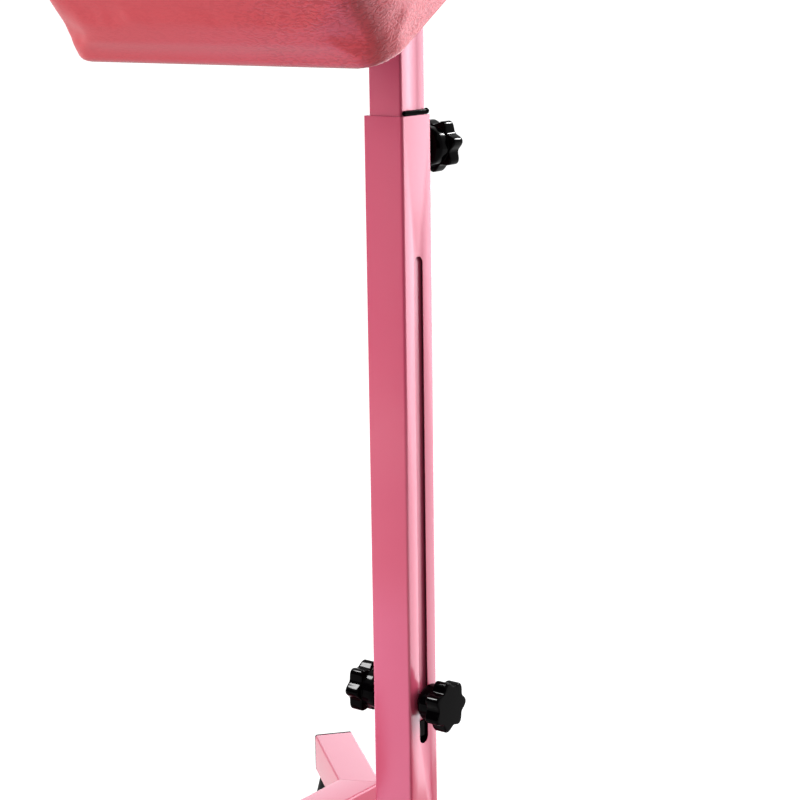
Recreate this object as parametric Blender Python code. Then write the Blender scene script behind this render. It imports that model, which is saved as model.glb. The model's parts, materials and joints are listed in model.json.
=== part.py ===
"""Height-adjustable armrest stand: a tilting pad on a telescopic square post over a four-footed base.

Lengths are in metres, angles in degrees. The origin is on the post's axis at floor level, +Z is up,
-Y is the side the pad leans down to, and the slots of the post face -X and +X.
"""

import math

import bmesh
import bpy
from mathutils import Matrix, Vector

# Fits
SEAT = 0.0003               # gap that seated pieces keep
CUT = 0.002                 # how far a cutter runs past the face it opens

# Square steel tube
POST_SIDE = 0.030
POST_WALL = 0.0012
POST_CORNER = 0.0020
INNER_SIDE = 0.025
INNER_WALL = 0.0012
INNER_CORNER = 0.0018
BASE_SIDE = 0.030
BASE_WALL = 0.0012
BASE_CORNER = 0.0020

# Base
RAIL_REACH = 0.1315         # post axis to the axis of either rail, along X
RAIL_HALF = 0.116           # post axis to a mitre's centre, along Y
STUB_LENGTH = 0.098         # mitre's centre to the cut end of a stub
STUB_ANGLE = 40.0           # a stub's lean away from the X axis

# Rubber feet and their screws
FOOT_HEIGHT = 0.016
FOOT_TOP_RADIUS = 0.0149
FOOT_BOTTOM_RADIUS = 0.0175
FOOT_EDGE = 0.0012
FOOT_INSET = 0.0152         # tube end to the foot's axis
FOOT_WELL_RADIUS = 0.0062
FOOT_WELL_DEPTH = 0.0090
FOOT_SCREW_RADIUS = 0.0024
FOOT_SCREW_LENGTH = 0.0135
FOOT_HEAD_RADIUS = 0.0048
FOOT_HEAD_HEIGHT = 0.0030
FOOT_HEAD_TOP_RADIUS = 0.0034
FOOT_POINT_RADIUS = 0.0006
FOOT_POINT_LENGTH = 0.0048

# End plugs of the stubs
PLUG_FLANGE = 0.0020
PLUG_EDGE = 0.0007
PLUG_DEPTH = 0.012
PLUG_SKIN = 0.0014
PLUG_BARB = 0.0006          # how far the barbs stand out of the plug's walls
PLUG_BARBS = 2

# Outer post
POST_LENGTH = 0.5085        # top of the base to the rim
SLOT_WIDTH = 0.0090
SLOT_ROUND_SHARE = 0.999     # share of half its width by which a slot's end is rounded
CLAMP_DROP = 0.0220         # rim to the clamp screw's axis
CLAMP_BORE_RADIUS = 0.0042
WELD_NUT_RADIUS = 0.0070
WELD_NUT_LENGTH = 0.0085
WELD_NUT_EDGE = 0.0008

# Guide liners in the mouth of the post
LINER_WIDTH = 0.020
LINER_DEPTH = 0.038
LINER_SINK = 0.0008          # top of the left liner to the rim
LIP_WIDTH = 0.0248
LIP_HEIGHT = 0.0030
LIP_OVERHANG = 0.0004
LIP_EDGE = 0.0009
LIP_CORNER = 0.0010
LINER_EDGE = 0.00015

# Inner post
ROD_DROP = 0.3775           # rim to the cross rod's axis, as it is set now
TRAVEL_UP = 0.286           # the cross rod's way up and down from there
TRAVEL_DOWN = 0.025
INNER_TAIL = 0.0145         # cross rod to the tube's lower end
PIVOT_RISE = 0.1084         # rim to the tilt axis, as it is set now
INNER_HEAD = 0.0130         # tilt axis to the tube's upper end
CAP_FLANGE = 0.0018
CAP_EDGE = 0.0006
CAP_DEPTH = 0.0040
GUIDE_LENGTH = 0.0110
GUIDE_CLEARANCE = 0.00035
GUIDE_EDGE = 0.0010
GUIDE_SPIGOT = 0.0055

# Threaded parts, all of them eight millimetre
THREAD_RADIUS = 0.0039
THREAD_CLEARANCE = 0.0003
THREAD_END_GAP = 0.0012      # end of a thread to the bottom of its socket
THREAD_CHAMFER = 0.0006

# Star knobs
KNOB_LOBES = 7
KNOB_LOBE_RADIUS = 0.0170
KNOB_VALLEY_RADIUS = 0.0133
KNOB_HEIGHT = 0.0204
KNOB_HUB_LENGTH = 0.0102
KNOB_HUB_RADIUS = 0.0124
KNOB_HUB_ROUND = 0.0048
KNOB_SEAT_RADIUS = 0.0068
KNOB_EDGE = 0.0010
KNOB_DISH_RADIUS = 0.0098
KNOB_DISH_DEPTH = 0.0005
KNOB_SOCKET_DEPTH = 0.0124
INSERT_RADIUS = 0.0055
INSERT_COLLAR = 0.0007
INSERT_GROOVE_SHARES = (0.33, 0.67)
WASHER_RADIUS = 0.0074
WASHER_THICKNESS = 0.0012
CLAMP_STANDOFF = 0.0118     # back of the post to the upper knob's hub
TIP_RADIUS = 0.0036
TIP_GROOVE = 0.0005
UPPER_KNOB_TURN = 15.0
RIGHT_KNOB_TURN = 49.0
LEFT_KNOB_TURN = 1.0
TILT_KNOB_TURN = 0.0

# Tilt bracket
PAD_TILT = 32.1
PLATE_WIDTH = 0.078
PLATE_DEPTH = 0.112
PLATE_THICKNESS = 0.0025
PLATE_CORNER = 0.008
EAR_DROP = 0.0230           # underside of the plate to the tilt axis
EAR_THICKNESS = 0.0030
EAR_TIP_RADIUS = 0.0130
EAR_ROOT_HALF = 0.0240
FRICTION_DISC_RADIUS = 0.0105
FRICTION_DISC_THICKNESS = 0.0010
SLEEVE_WALL = 0.0016
BOLT_HEAD_RADIUS = 0.0090
BOLT_HEAD_HEIGHT = 0.0042
BOLT_NECK_HALF = 0.0039
BOLT_NECK_CORNER = 0.0003
BOLT_CROWN_SHARE = 0.45     # radius of the flat on the domed head, of the head's radius
BOLT_SHOULDER_SHARE = 0.80  # radius half way down the dome, of the head's radius
BOLT_SHOULDER_RISE_SHARE = 0.72
BOLT_RIM_SHARE = 0.20

# Pad fixings
SCREW_HALF_X = 0.029
SCREW_HALF_Y = 0.046
SCREW_RADIUS = 0.0028
SCREW_CLEARANCE = 0.0004
SCREW_HEAD_RADIUS = 0.0058
SCREW_HEAD_HEIGHT = 0.0034
SCREW_HEAD_TOP_RADIUS = 0.0035
SCREW_LENGTH = 0.0125
TNUT_WALL = 0.0009
TNUT_LENGTH = 0.0095
TNUT_FLANGE_RADIUS = 0.0085
TNUT_FLANGE = 0.0012

# Pad
PAD_WIDTH = 0.2345
PAD_DEPTH = 0.352
PAD_CORNER = 0.020
PAD_LEAST_CORNER = 0.003
PAD_SIDE = 0.058            # height of the upholstered side
PAD_CROWN = 0.010
PAD_FOOT_ROUND = 0.0030
PAD_BROW = 0.014            # how far the brow of the foam rolls in
PAD_BROW_HEIGHT = 0.0115
CROWN_POWER_ACROSS = 2.2
CROWN_POWER_ALONG = 4.0
WAIST_SHARES = (0.35, 0.7, 1.0)
CROWN_SHARES = (0.08, 0.2, 0.36, 0.55, 0.75, 0.95)
PAD_FLARE = 0.0062          # how far the foam stands out over the board below the brow
COVER_MARGIN = 0.006        # cover folded round the board's edge
BOARD_THICKNESS = 0.012
CLOTH_THICKNESS = 0.0008

# Smoothness
TUBE_STEPS = 3
PAD_STEPS = 5
SLOT_STEPS = 6
SMALL_EDGE_STEPS = 1
LIP_STEPS = 3
ROUND_STEPS = 16
SCREW_STEPS = 12
HUB_STEPS = 3
KNOB_STEPS_PER_LOBE = 6
FOOT_ROUND_STEPS = 2
BROW_STEPS = 4
EDGE_SHARE = 0.3            # inset of the middle point of a rounded edge, of the edge's size
SMOOTH_ANGLE = 30.0
CUSHION_SMOOTH_ANGLE = 50.0

# Places worked out from the sizes
BASE_TOP = FOOT_HEIGHT + BASE_SIDE
BASE_AXIS = FOOT_HEIGHT + BASE_SIDE / 2
RIM = BASE_TOP + POST_LENGTH
ROD_HEIGHT = RIM - ROD_DROP
PIVOT_HEIGHT = RIM + PIVOT_RISE
CLAMP_HEIGHT = RIM - CLAMP_DROP
SLOT_LENGTH = TRAVEL_UP + TRAVEL_DOWN + SLOT_WIDTH
SLOT_MIDDLE = ROD_HEIGHT + (TRAVEL_UP - TRAVEL_DOWN) / 2
CAVITY = POST_SIDE - 2 * POST_WALL
CROWN_INSET = PAD_BROW - PAD_FLARE
BORE_RADIUS = THREAD_RADIUS + THREAD_CLEARANCE
KNOB_BASE = POST_SIDE / 2 + SEAT + WASHER_THICKNESS + SEAT
EAR_INNER = INNER_SIDE / 2 + SEAT + FRICTION_DISC_THICKNESS + SEAT
EAR_OUTER = EAR_INNER + EAR_THICKNESS
PAD_FLOOR = EAR_DROP + PLATE_THICKNESS + SEAT
BOARD_FLOOR = PAD_FLOOR + CLOTH_THICKNESS + SEAT
BOARD_TOP = BOARD_FLOOR + BOARD_THICKNESS
BOARD_WIDTH = PAD_WIDTH - 2 * COVER_MARGIN - 2 * SEAT
BOARD_DEPTH = PAD_DEPTH - 2 * COVER_MARGIN - 2 * SEAT
STUB_TURN = 90.0 - STUB_ANGLE


# Materials

def srgb(code):
    """Linear colour of a hexadecimal sRGB code."""
    parts = [int(code[i:i + 2], 16) / 255 for i in (0, 2, 4)]
    linear = [c / 12.92 if c <= 0.04045 else ((c + 0.055) / 1.055) ** 2.4 for c in parts]
    return (*linear, 1.0)


def material(name, code, roughness, metallic=0.0):
    """Principled material with one colour."""
    mat = bpy.data.materials.new(name)
    mat.use_nodes = True
    shader = mat.node_tree.nodes["Principled BSDF"]
    shader.inputs["Base Color"].default_value = srgb(code)
    shader.inputs["Roughness"].default_value = roughness
    shader.inputs["Metallic"].default_value = metallic
    mat.diffuse_color = srgb(code)
    return mat


def make_materials():
    """The finishes of the stand by name."""
    return {
        "pink_paint": material("pink_paint", "f08ca8", 0.35),
        "pink_leather": material("pink_leather", "dc6a74", 0.50),
        "black_plastic": material("black_plastic", "121013", 0.18),
        "black_rubber": material("black_rubber", "1b1a1b", 0.75),
        "zinc_steel": material("zinc_steel", "b9bcc0", 0.32, 1.0),
        "brass": material("brass", "c9a34e", 0.30, 1.0),
        "white_nylon": material("white_nylon", "e6e2d8", 0.45),
        "plywood": material("plywood", "c8a06c", 0.70),
        "black_cloth": material("black_cloth", "232224", 0.90),
    }


# Modelling helpers

def ring(outline, height):
    """An outline of (x, y) points lifted to a height."""
    return [Vector((x, y, height)) for x, y in outline]


def rounded_rectangle(width, depth, corner, steps):
    """Outline of a rectangle with arcs at its corners, anticlockwise from the +X side."""
    points = []
    for quarter in range(4):
        sign_x = 1 if quarter in (0, 3) else -1
        sign_y = 1 if quarter in (0, 1) else -1
        centre_x = sign_x * (width / 2 - corner)
        centre_y = sign_y * (depth / 2 - corner)
        for step in range(steps + 1):
            angle = math.radians(90 * (quarter + step / steps))
            points.append((centre_x + corner * math.cos(angle), centre_y + corner * math.sin(angle)))
    return points


def circle(radius, steps=ROUND_STEPS):
    """Outline of a circle."""
    turns = [2 * math.pi * step / steps for step in range(steps)]
    return [(radius * math.cos(turn), radius * math.sin(turn)) for turn in turns]


def skin(rings, wrap=False):
    """Mesh over a stack of rings of equal count, closed by end faces or by joining last to first."""
    bm = bmesh.new()
    loops = [[bm.verts.new(point) for point in points] for points in rings]
    pairs = list(zip(loops, loops[1:]))
    if wrap:
        pairs.append((loops[-1], loops[0]))
    for low, high in pairs:
        for i in range(len(low)):
            j = (i + 1) % len(low)
            bm.faces.new((low[i], low[j], high[j], high[i]))
    if not wrap:
        bm.faces.new(list(reversed(loops[0])))
        bm.faces.new(loops[-1])
    return bm


def turned(profile, steps=ROUND_STEPS, wrap=False):
    """Mesh turned about Z from (radius, height) points."""
    return skin([ring(circle(radius, steps), height) for radius, height in profile], wrap)


def place(name, bm, mat, parent=None, location=(0, 0, 0), matrix=None, smooth=SMOOTH_ANGLE):
    """Object of one sub-part from its mesh, shaded smooth over its round stretches."""
    bmesh.ops.recalc_face_normals(bm, faces=bm.faces)
    mesh = bpy.data.meshes.new(name)
    bm.to_mesh(mesh)
    bm.free()
    mesh.shade_smooth()
    mesh.set_sharp_from_angle(angle=math.radians(smooth))
    mesh.materials.append(mat)
    obj = bpy.data.objects.new(name, mesh)
    bpy.context.collection.objects.link(obj)
    obj.parent = parent
    if matrix is None:
        matrix = Matrix.Translation(Vector(location))
    obj.matrix_local = matrix
    return obj


def tool(name, bm, parent=None, matrix=None):
    """Hidden helper shape for a cut or a joint."""
    mesh = bpy.data.meshes.new(name)
    bmesh.ops.recalc_face_normals(bm, faces=bm.faces)
    bm.to_mesh(mesh)
    bm.free()
    obj = bpy.data.objects.new(name, mesh)
    bpy.context.collection.objects.link(obj)
    obj.parent = parent
    if matrix is not None:
        obj.matrix_local = matrix
    obj.hide_render = True
    obj.display_type = 'WIRE'
    return obj


def combine(obj, helper, operation):
    """Boolean of an object with a helper shape."""
    modifier = obj.modifiers.new(operation.lower(), 'BOOLEAN')
    modifier.operation = operation
    modifier.solver = 'EXACT'
    modifier.object = helper


def cut(obj, helper):
    """Take a helper shape out of an object."""
    combine(obj, helper, 'DIFFERENCE')


def fuse(obj, helper):
    """Add a helper shape to an object."""
    combine(obj, helper, 'UNION')


def empty(name, location=(0, 0, 0), parent=None, tilt=0.0):
    """Axis of a moving body, tilted about X."""
    axis = bpy.data.objects.new(name, None)
    bpy.context.collection.objects.link(axis)
    axis.parent = parent
    axis.location = location
    axis.rotation_euler = (math.radians(tilt), 0.0, 0.0)
    return axis


def along(direction, origin=(0, 0, 0), turn=0.0):
    """Matrix that lays a shape's Z axis along a direction from an origin, turned about that axis."""
    lean = Vector(direction).to_track_quat('Z', 'Y').to_matrix().to_4x4()
    return Matrix.Translation(Vector(origin)) @ lean @ Matrix.Rotation(math.radians(turn), 4, 'Z')


def plan(origin, heading):
    """Matrix of a level tube: its Z axis runs along a heading in plan, its X to the right, its Y up."""
    angle = math.radians(heading)
    run = Vector((math.cos(angle), math.sin(angle), 0.0))
    right = Vector((math.sin(angle), -math.cos(angle), 0.0))
    up = run.cross(right) * -1
    frame = Matrix((right, up, run)).transposed().to_4x4()
    return Matrix.Translation(Vector(origin)) @ frame


def tube_mesh(side, wall, corner, start, end, start_slope=0.0, end_slope=0.0):
    """Square tube along Z whose ends may be cut at a slope across X."""
    outer = rounded_rectangle(side, side, corner, TUBE_STEPS)
    hollow = side - 2 * wall
    inner = rounded_rectangle(hollow, hollow, corner - wall, TUBE_STEPS)

    def section(outline, height, slope):
        return [Vector((x, y, height + slope * x)) for x, y in outline]

    return skin([
        section(outer, start, start_slope),
        section(outer, end, end_slope),
        section(inner, end, end_slope),
        section(inner, start, start_slope),
    ], wrap=True)


def peg(radius, start, end, steps=ROUND_STEPS):
    """Plain round cutter along Z."""
    return turned([(radius, start), (radius, end)], steps)


# Base

def mitre_slope():
    """Slope of a mitre cut across a tube, half the bend between rail and stub."""
    return math.tan(math.radians(STUB_TURN / 2))


def corner_signs():
    """Side name, front or rear name, and the signs of the four corners of the base."""
    sides = (("left", -1), ("right", 1))
    ends = (("front", -1), ("rear", 1))
    return [(end, side, sx, sy) for side, sx in sides for end, sy in ends]


def stub_run(sx, sy):
    """Level direction in which a stub leaves its rail."""
    lean = math.radians(STUB_ANGLE)
    return Vector((sx * math.cos(lean), sy * math.sin(lean), 0.0))


def mitre_point(sx, sy, height):
    """Centre of a mitre at a height."""
    return Vector((sx * RAIL_REACH, sy * RAIL_HALF, height))


def foot_point(sx, sy):
    """Place of a foot's axis on the floor."""
    return mitre_point(sx, sy, 0.0) + stub_run(sx, sy) * (STUB_LENGTH - FOOT_INSET)


def build_rails(mats):
    """Rails along Y, mitred at both ends."""
    for side, sx in (("left", -1), ("right", 1)):
        slope = -sx * mitre_slope()
        bm = tube_mesh(BASE_SIDE, BASE_WALL, BASE_CORNER, -RAIL_HALF + SEAT / 2,
                       RAIL_HALF - SEAT / 2, -slope, slope)
        place(side + "_rail", bm, mats["pink_paint"], matrix=plan((sx * RAIL_REACH, 0, BASE_AXIS), 90.0))


def build_stubs(mats):
    """Stubs that splay from the rails to the feet, each drilled below for its foot screw."""
    for end, side, sx, sy in corner_signs():
        run = stub_run(sx, sy)
        heading = math.degrees(math.atan2(run.y, run.x))
        slope = sx * sy * mitre_slope()
        bm = tube_mesh(BASE_SIDE, BASE_WALL, BASE_CORNER, SEAT / 2, STUB_LENGTH, start_slope=slope)
        stub = place(f"{end}_{side}_stub", bm, mats["pink_paint"],
                     matrix=plan(mitre_point(sx, sy, BASE_AXIS), heading))
        hole = peg(FOOT_SCREW_RADIUS + SEAT, FOOT_HEIGHT - CUT, FOOT_HEIGHT + BASE_WALL + CUT)
        cut(stub, tool(f"{end}_{side}_screw_hole", hole, matrix=Matrix.Translation(foot_point(sx, sy))))


def build_centre_bar(mats):
    """Bar along X between the rails, under the post."""
    half = RAIL_REACH - BASE_SIDE / 2 - SEAT
    bm = tube_mesh(BASE_SIDE, BASE_WALL, BASE_CORNER, -half, half)
    place("centre_bar", bm, mats["pink_paint"], matrix=plan((0, 0, BASE_AXIS), 0.0))


def plug_mesh():
    """Barbed square plug, open inwards, with a rounded flange over the tube's end."""
    bore = BASE_SIDE - 2 * BASE_WALL
    grip = bore - 2 * SEAT
    body = grip - 2 * PLUG_BARB
    hollow = body - 2 * PLUG_SKIN
    corner = BASE_CORNER - BASE_WALL

    def square(side, radius, height):
        return ring(rounded_rectangle(side, side, radius, TUBE_STEPS), height)

    rings = [
        square(BASE_SIDE - 2 * PLUG_EDGE, BASE_CORNER, PLUG_FLANGE + SEAT),
        square(BASE_SIDE, BASE_CORNER, PLUG_FLANGE + SEAT - PLUG_EDGE),
        square(BASE_SIDE, BASE_CORNER, SEAT),
        square(body, corner, SEAT),
    ]
    pitch = PLUG_DEPTH / (PLUG_BARBS + 1)
    for barb in range(1, PLUG_BARBS + 1):
        rings.append(square(body, corner, -pitch * barb + PLUG_BARB))
        rings.append(square(grip, corner, -pitch * barb))
        rings.append(square(body, corner, -pitch * barb - 2 * PLUG_BARB))
    rings.append(square(body, corner, -PLUG_DEPTH))
    rings.append(square(hollow, corner, -PLUG_DEPTH))
    rings.append(square(hollow, corner, 0.0))
    return skin(rings)


def build_end_plugs(mats):
    """Black plugs in the open ends of the stubs."""
    for end, side, sx, sy in corner_signs():
        run = stub_run(sx, sy)
        heading = math.degrees(math.atan2(run.y, run.x))
        tip = mitre_point(sx, sy, BASE_AXIS) + run * STUB_LENGTH
        place(f"{end}_{side}_end_plug", plug_mesh(), mats["black_plastic"], matrix=plan(tip, heading))


def foot_mesh():
    """Tapered rubber foot with a screw well open to the floor."""
    top = FOOT_HEIGHT - SEAT
    hole = FOOT_SCREW_RADIUS + SEAT
    return turned([
        (hole, FOOT_WELL_DEPTH),
        (FOOT_WELL_RADIUS, FOOT_WELL_DEPTH),
        (FOOT_WELL_RADIUS, 0.0),
        (FOOT_BOTTOM_RADIUS - FOOT_EDGE, 0.0),
        (FOOT_BOTTOM_RADIUS, FOOT_EDGE),
        (FOOT_TOP_RADIUS, top - FOOT_EDGE),
        (FOOT_TOP_RADIUS - FOOT_EDGE, top),
        (hole, top),
    ], ROUND_STEPS, wrap=True)


def foot_screw_mesh():
    """Pan-headed screw that holds a foot, its head up in the foot's well."""
    seat = FOOT_WELL_DEPTH - SEAT
    head = seat - FOOT_HEAD_HEIGHT
    tip = seat + FOOT_SCREW_LENGTH
    return turned([
        (FOOT_HEAD_TOP_RADIUS, head),
        (FOOT_HEAD_RADIUS, head + FOOT_HEAD_HEIGHT / 2),
        (FOOT_HEAD_RADIUS, seat),
        (FOOT_SCREW_RADIUS, seat),
        (FOOT_SCREW_RADIUS, tip - FOOT_POINT_LENGTH),
        (FOOT_POINT_RADIUS, tip),
    ], SCREW_STEPS)


def build_feet(mats):
    """Rubber feet under the stubs, each with its screw."""
    for end, side, sx, sy in corner_signs():
        spot = foot_point(sx, sy)
        place(f"{end}_{side}_foot", foot_mesh(), mats["black_rubber"], location=spot)
        place(f"{end}_{side}_foot_screw", foot_screw_mesh(), mats["zinc_steel"], location=spot)


# Outer post

def build_outer_post(mats):
    """Post with a closed slot in both side walls and a clamp bore in the back wall."""
    bm = tube_mesh(POST_SIDE, POST_WALL, POST_CORNER, BASE_TOP + SEAT, RIM)
    post = place("outer_post", bm, mats["pink_paint"])
    outline = rounded_rectangle(SLOT_LENGTH, SLOT_WIDTH, SLOT_WIDTH / 2 * SLOT_ROUND_SHARE, SLOT_STEPS)
    reach = POST_SIDE / 2 + CUT
    slot = skin([
        [Vector((-reach, y, x)) for x, y in outline],
        [Vector((reach, y, x)) for x, y in outline],
    ])
    cut(post, tool("slot_cutter", slot, matrix=Matrix.Translation((0, 0, SLOT_MIDDLE))))
    bore = peg(CLAMP_BORE_RADIUS, CAVITY / 2 - CUT, POST_SIDE / 2 + CUT)
    cut(post, tool("clamp_bore_cutter", bore, matrix=along((0, 1, 0), (0, 0, CLAMP_HEIGHT))))


def build_weld_nut(mats):
    """Round threaded boss on the back of the post."""
    start = POST_SIDE / 2 + SEAT
    end = start + WELD_NUT_LENGTH
    bm = turned([
        (CLAMP_BORE_RADIUS, start),
        (WELD_NUT_RADIUS, start),
        (WELD_NUT_RADIUS, end - WELD_NUT_EDGE),
        (WELD_NUT_RADIUS - WELD_NUT_EDGE, end),
        (CLAMP_BORE_RADIUS, end),
    ], wrap=True)
    place("clamp_weld_nut", bm, mats["pink_paint"], matrix=along((0, 1, 0), (0, 0, CLAMP_HEIGHT)))


def build_liners(mats):
    """Plastic strips in the mouth of the post, the right one hung over the rim by a rounded lip."""
    inside = INNER_SIDE / 2 + SEAT
    leg_outside = CAVITY / 2 - SEAT
    outside = POST_SIDE / 2 + LIP_OVERHANG
    for side, sx, top in (("left", -1, -LINER_SINK), ("right", 1, SEAT + LIP_HEIGHT / 2)):
        leg = skin([
            ring(rounded_rectangle(leg_outside - inside, LINER_WIDTH, LINER_EDGE, SMALL_EDGE_STEPS), height)
            for height in (-LINER_DEPTH, top)
        ])
        spot = Matrix.Translation((sx * (leg_outside + inside) / 2, 0, RIM))
        place(side + "_guide_liner", leg, mats["black_plastic"], matrix=spot)
    lip = skin([
        ring(rounded_rectangle(outside - inside - 2 * shrink, LIP_WIDTH - 2 * shrink,
                               LIP_CORNER - shrink, LIP_STEPS), height)
        for shrink, height in (
            (0.0, SEAT),
            (0.0, SEAT + LIP_HEIGHT - LIP_EDGE),
            (LIP_EDGE * EDGE_SHARE, SEAT + LIP_HEIGHT - LIP_EDGE * EDGE_SHARE),
            (LIP_EDGE, SEAT + LIP_HEIGHT),
        )
    ])
    spot = Matrix.Translation(((outside + inside) / 2, 0, RIM))
    fuse(bpy.data.objects["right_guide_liner"], tool("liner_lip", lip, matrix=spot))


# Inner post

def build_inner_tube(mats, carriage):
    """Sliding tube, drilled across for the clamp rod and for the tilt bolt."""
    start = -INNER_TAIL
    end = PIVOT_HEIGHT + INNER_HEAD - ROD_HEIGHT
    bm = tube_mesh(INNER_SIDE, INNER_WALL, INNER_CORNER, start, end)
    tube = place("inner_tube", bm, mats["pink_paint"], carriage)
    reach = INNER_SIDE / 2 + CUT
    for name, height in (("rod_hole", 0.0), ("pivot_hole", PIVOT_HEIGHT - ROD_HEIGHT)):
        hole = peg(BORE_RADIUS, -reach, reach)
        cut(tube, tool(name, hole, carriage, along((1, 0, 0), (0, 0, height))))


def build_inner_cap(mats, carriage):
    """Square plug in the sliding tube's upper end."""
    body = INNER_SIDE - 2 * INNER_WALL - 2 * SEAT
    corner = INNER_CORNER - INNER_WALL
    rings = [
        ring(rounded_rectangle(side, side, radius, TUBE_STEPS), height)
        for side, radius, height in (
            (body, corner, -CAP_DEPTH),
            (body, corner, SEAT),
            (INNER_SIDE, INNER_CORNER, SEAT),
            (INNER_SIDE, INNER_CORNER, SEAT + CAP_FLANGE - CAP_EDGE),
            (INNER_SIDE - 2 * CAP_EDGE, INNER_CORNER, SEAT + CAP_FLANGE),
        )
    ]
    top = PIVOT_HEIGHT + INNER_HEAD - ROD_HEIGHT
    place("inner_tube_cap", skin(rings), mats["black_plastic"], carriage, (0, 0, top))


def build_guide_block(mats, carriage):
    """Plastic slide block under the sliding tube, with a spigot up inside it."""
    body = INNER_SIDE - 2 * INNER_WALL - 2 * SEAT
    block = CAVITY - 2 * GUIDE_CLEARANCE
    corner = POST_CORNER - POST_WALL + GUIDE_CLEARANCE
    rings = [
        ring(rounded_rectangle(side, side, radius, TUBE_STEPS), height)
        for side, radius, height in (
            (block - 2 * GUIDE_EDGE, corner, -SEAT - GUIDE_LENGTH),
            (block, corner, -SEAT - GUIDE_LENGTH + GUIDE_EDGE),
            (block, corner, -SEAT),
            (body, INNER_CORNER - INNER_WALL, -SEAT),
            (body, INNER_CORNER - INNER_WALL, GUIDE_SPIGOT),
        )
    ]
    place("slide_block", skin(rings), mats["black_plastic"], carriage, (0, 0, -INNER_TAIL))


def build_cross_rod(mats, carriage):
    """Threaded rod through both slots, from one knob's socket to the other's."""
    reach = KNOB_BASE + KNOB_SOCKET_DEPTH - THREAD_END_GAP
    bm = turned([
        (THREAD_RADIUS - THREAD_CHAMFER, -reach),
        (THREAD_RADIUS, -reach + THREAD_CHAMFER),
        (THREAD_RADIUS, reach - THREAD_CHAMFER),
        (THREAD_RADIUS - THREAD_CHAMFER, reach),
    ])
    place("cross_rod", bm, mats["zinc_steel"], carriage, matrix=along((1, 0, 0)))


def build_pivot_sleeve(mats, carriage):
    """Spacer inside the sliding tube that takes the tilt clamp's squeeze."""
    half = INNER_SIDE / 2 - INNER_WALL - SEAT
    bm = turned([
        (BORE_RADIUS, -half),
        (BORE_RADIUS + SLEEVE_WALL, -half),
        (BORE_RADIUS + SLEEVE_WALL, half),
        (BORE_RADIUS, half),
    ], wrap=True)
    place("pivot_sleeve", bm, mats["zinc_steel"], carriage,
          matrix=along((1, 0, 0), (0, 0, PIVOT_HEIGHT - ROD_HEIGHT)))


# Star knobs

def star_outline(inset, star=1.0, hub=0.0):
    """Lobed outline, drawn in by an inset and blended towards a circle of the hub's radius."""
    steps = KNOB_LOBES * KNOB_STEPS_PER_LOBE
    middle = (KNOB_LOBE_RADIUS + KNOB_VALLEY_RADIUS) / 2
    swing = (KNOB_LOBE_RADIUS - KNOB_VALLEY_RADIUS) / 2
    points = []
    for step in range(steps):
        turn = 2 * math.pi * step / steps
        radius = middle + swing * math.cos(KNOB_LOBES * turn) - inset
        radius = star * radius + (1.0 - star) * hub
        points.append((radius * math.cos(turn), radius * math.sin(turn)))
    return points


def knob_mesh(socket_radius):
    """Seven-lobed knob along Z, hub first, with a blind socket in its hub and a dished face."""
    socket_end = KNOB_SOCKET_DEPTH
    rounding = KNOB_HUB_RADIUS - KNOB_SEAT_RADIUS
    rings = [
        ring(star_outline(0.0, 0.0, socket_radius), socket_end),
        ring(star_outline(0.0, 0.0, socket_radius), 0.0),
    ]
    for step in range(HUB_STEPS + 1):
        swing = math.radians(90 * step / HUB_STEPS)
        radius = KNOB_SEAT_RADIUS + rounding * math.sin(swing)
        height = KNOB_HUB_ROUND * (1 - math.cos(swing))
        rings.append(ring(star_outline(0.0, 0.0, radius), height))
    rings += [
        ring(star_outline(0.0, 0.0, KNOB_HUB_RADIUS), KNOB_HUB_LENGTH - KNOB_EDGE / 2),
        ring(star_outline(KNOB_EDGE), KNOB_HUB_LENGTH),
        ring(star_outline(0.0), KNOB_HUB_LENGTH + KNOB_EDGE),
        ring(star_outline(0.0), KNOB_HEIGHT - KNOB_EDGE),
        ring(star_outline(KNOB_EDGE * EDGE_SHARE), KNOB_HEIGHT - KNOB_EDGE * EDGE_SHARE),
        ring(star_outline(KNOB_EDGE), KNOB_HEIGHT),
        ring(star_outline(0.0, 0.0, KNOB_DISH_RADIUS), KNOB_HEIGHT),
        ring(star_outline(0.0, 0.0, KNOB_DISH_RADIUS - KNOB_DISH_DEPTH), KNOB_HEIGHT - KNOB_DISH_DEPTH),
    ]
    return skin(rings)


def insert_mesh():
    """Threaded bush moulded into a knob's hub, with a knurled collar at each end."""
    grip = INSERT_RADIUS - INSERT_COLLAR
    end = KNOB_SOCKET_DEPTH - SEAT
    groove_start, groove_end = (end * share for share in INSERT_GROOVE_SHARES)
    return turned([
        (BORE_RADIUS, 0.0),
        (INSERT_RADIUS, 0.0),
        (INSERT_RADIUS, groove_start),
        (grip, groove_start),
        (grip, groove_end),
        (INSERT_RADIUS, groove_end),
        (INSERT_RADIUS, end),
        (BORE_RADIUS, end),
    ], wrap=True)


def washer_mesh():
    """Flat washer along Z."""
    return turned([
        (BORE_RADIUS, 0.0),
        (WASHER_RADIUS, 0.0),
        (WASHER_RADIUS, WASHER_THICKNESS),
        (BORE_RADIUS, WASHER_THICKNESS),
    ], wrap=True)


def build_socket_knob(mats, prefix, parent, direction, seat, turn):
    """Female knob with its insert and washer on an axis, seated at a distance from the axis's origin."""
    washer_start = seat + SEAT
    hub_start = washer_start + WASHER_THICKNESS + SEAT
    way = Vector(direction)
    place(prefix + "_washer", washer_mesh(), mats["black_plastic"], parent,
          matrix=along(way, way * washer_start))
    place(prefix + "_knob_insert", insert_mesh(), mats["brass"], parent, matrix=along(way, way * hub_start))
    place(prefix + "_knob", knob_mesh(INSERT_RADIUS + SEAT), mats["black_plastic"], parent,
          matrix=along(way, way * hub_start, turn))


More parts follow.
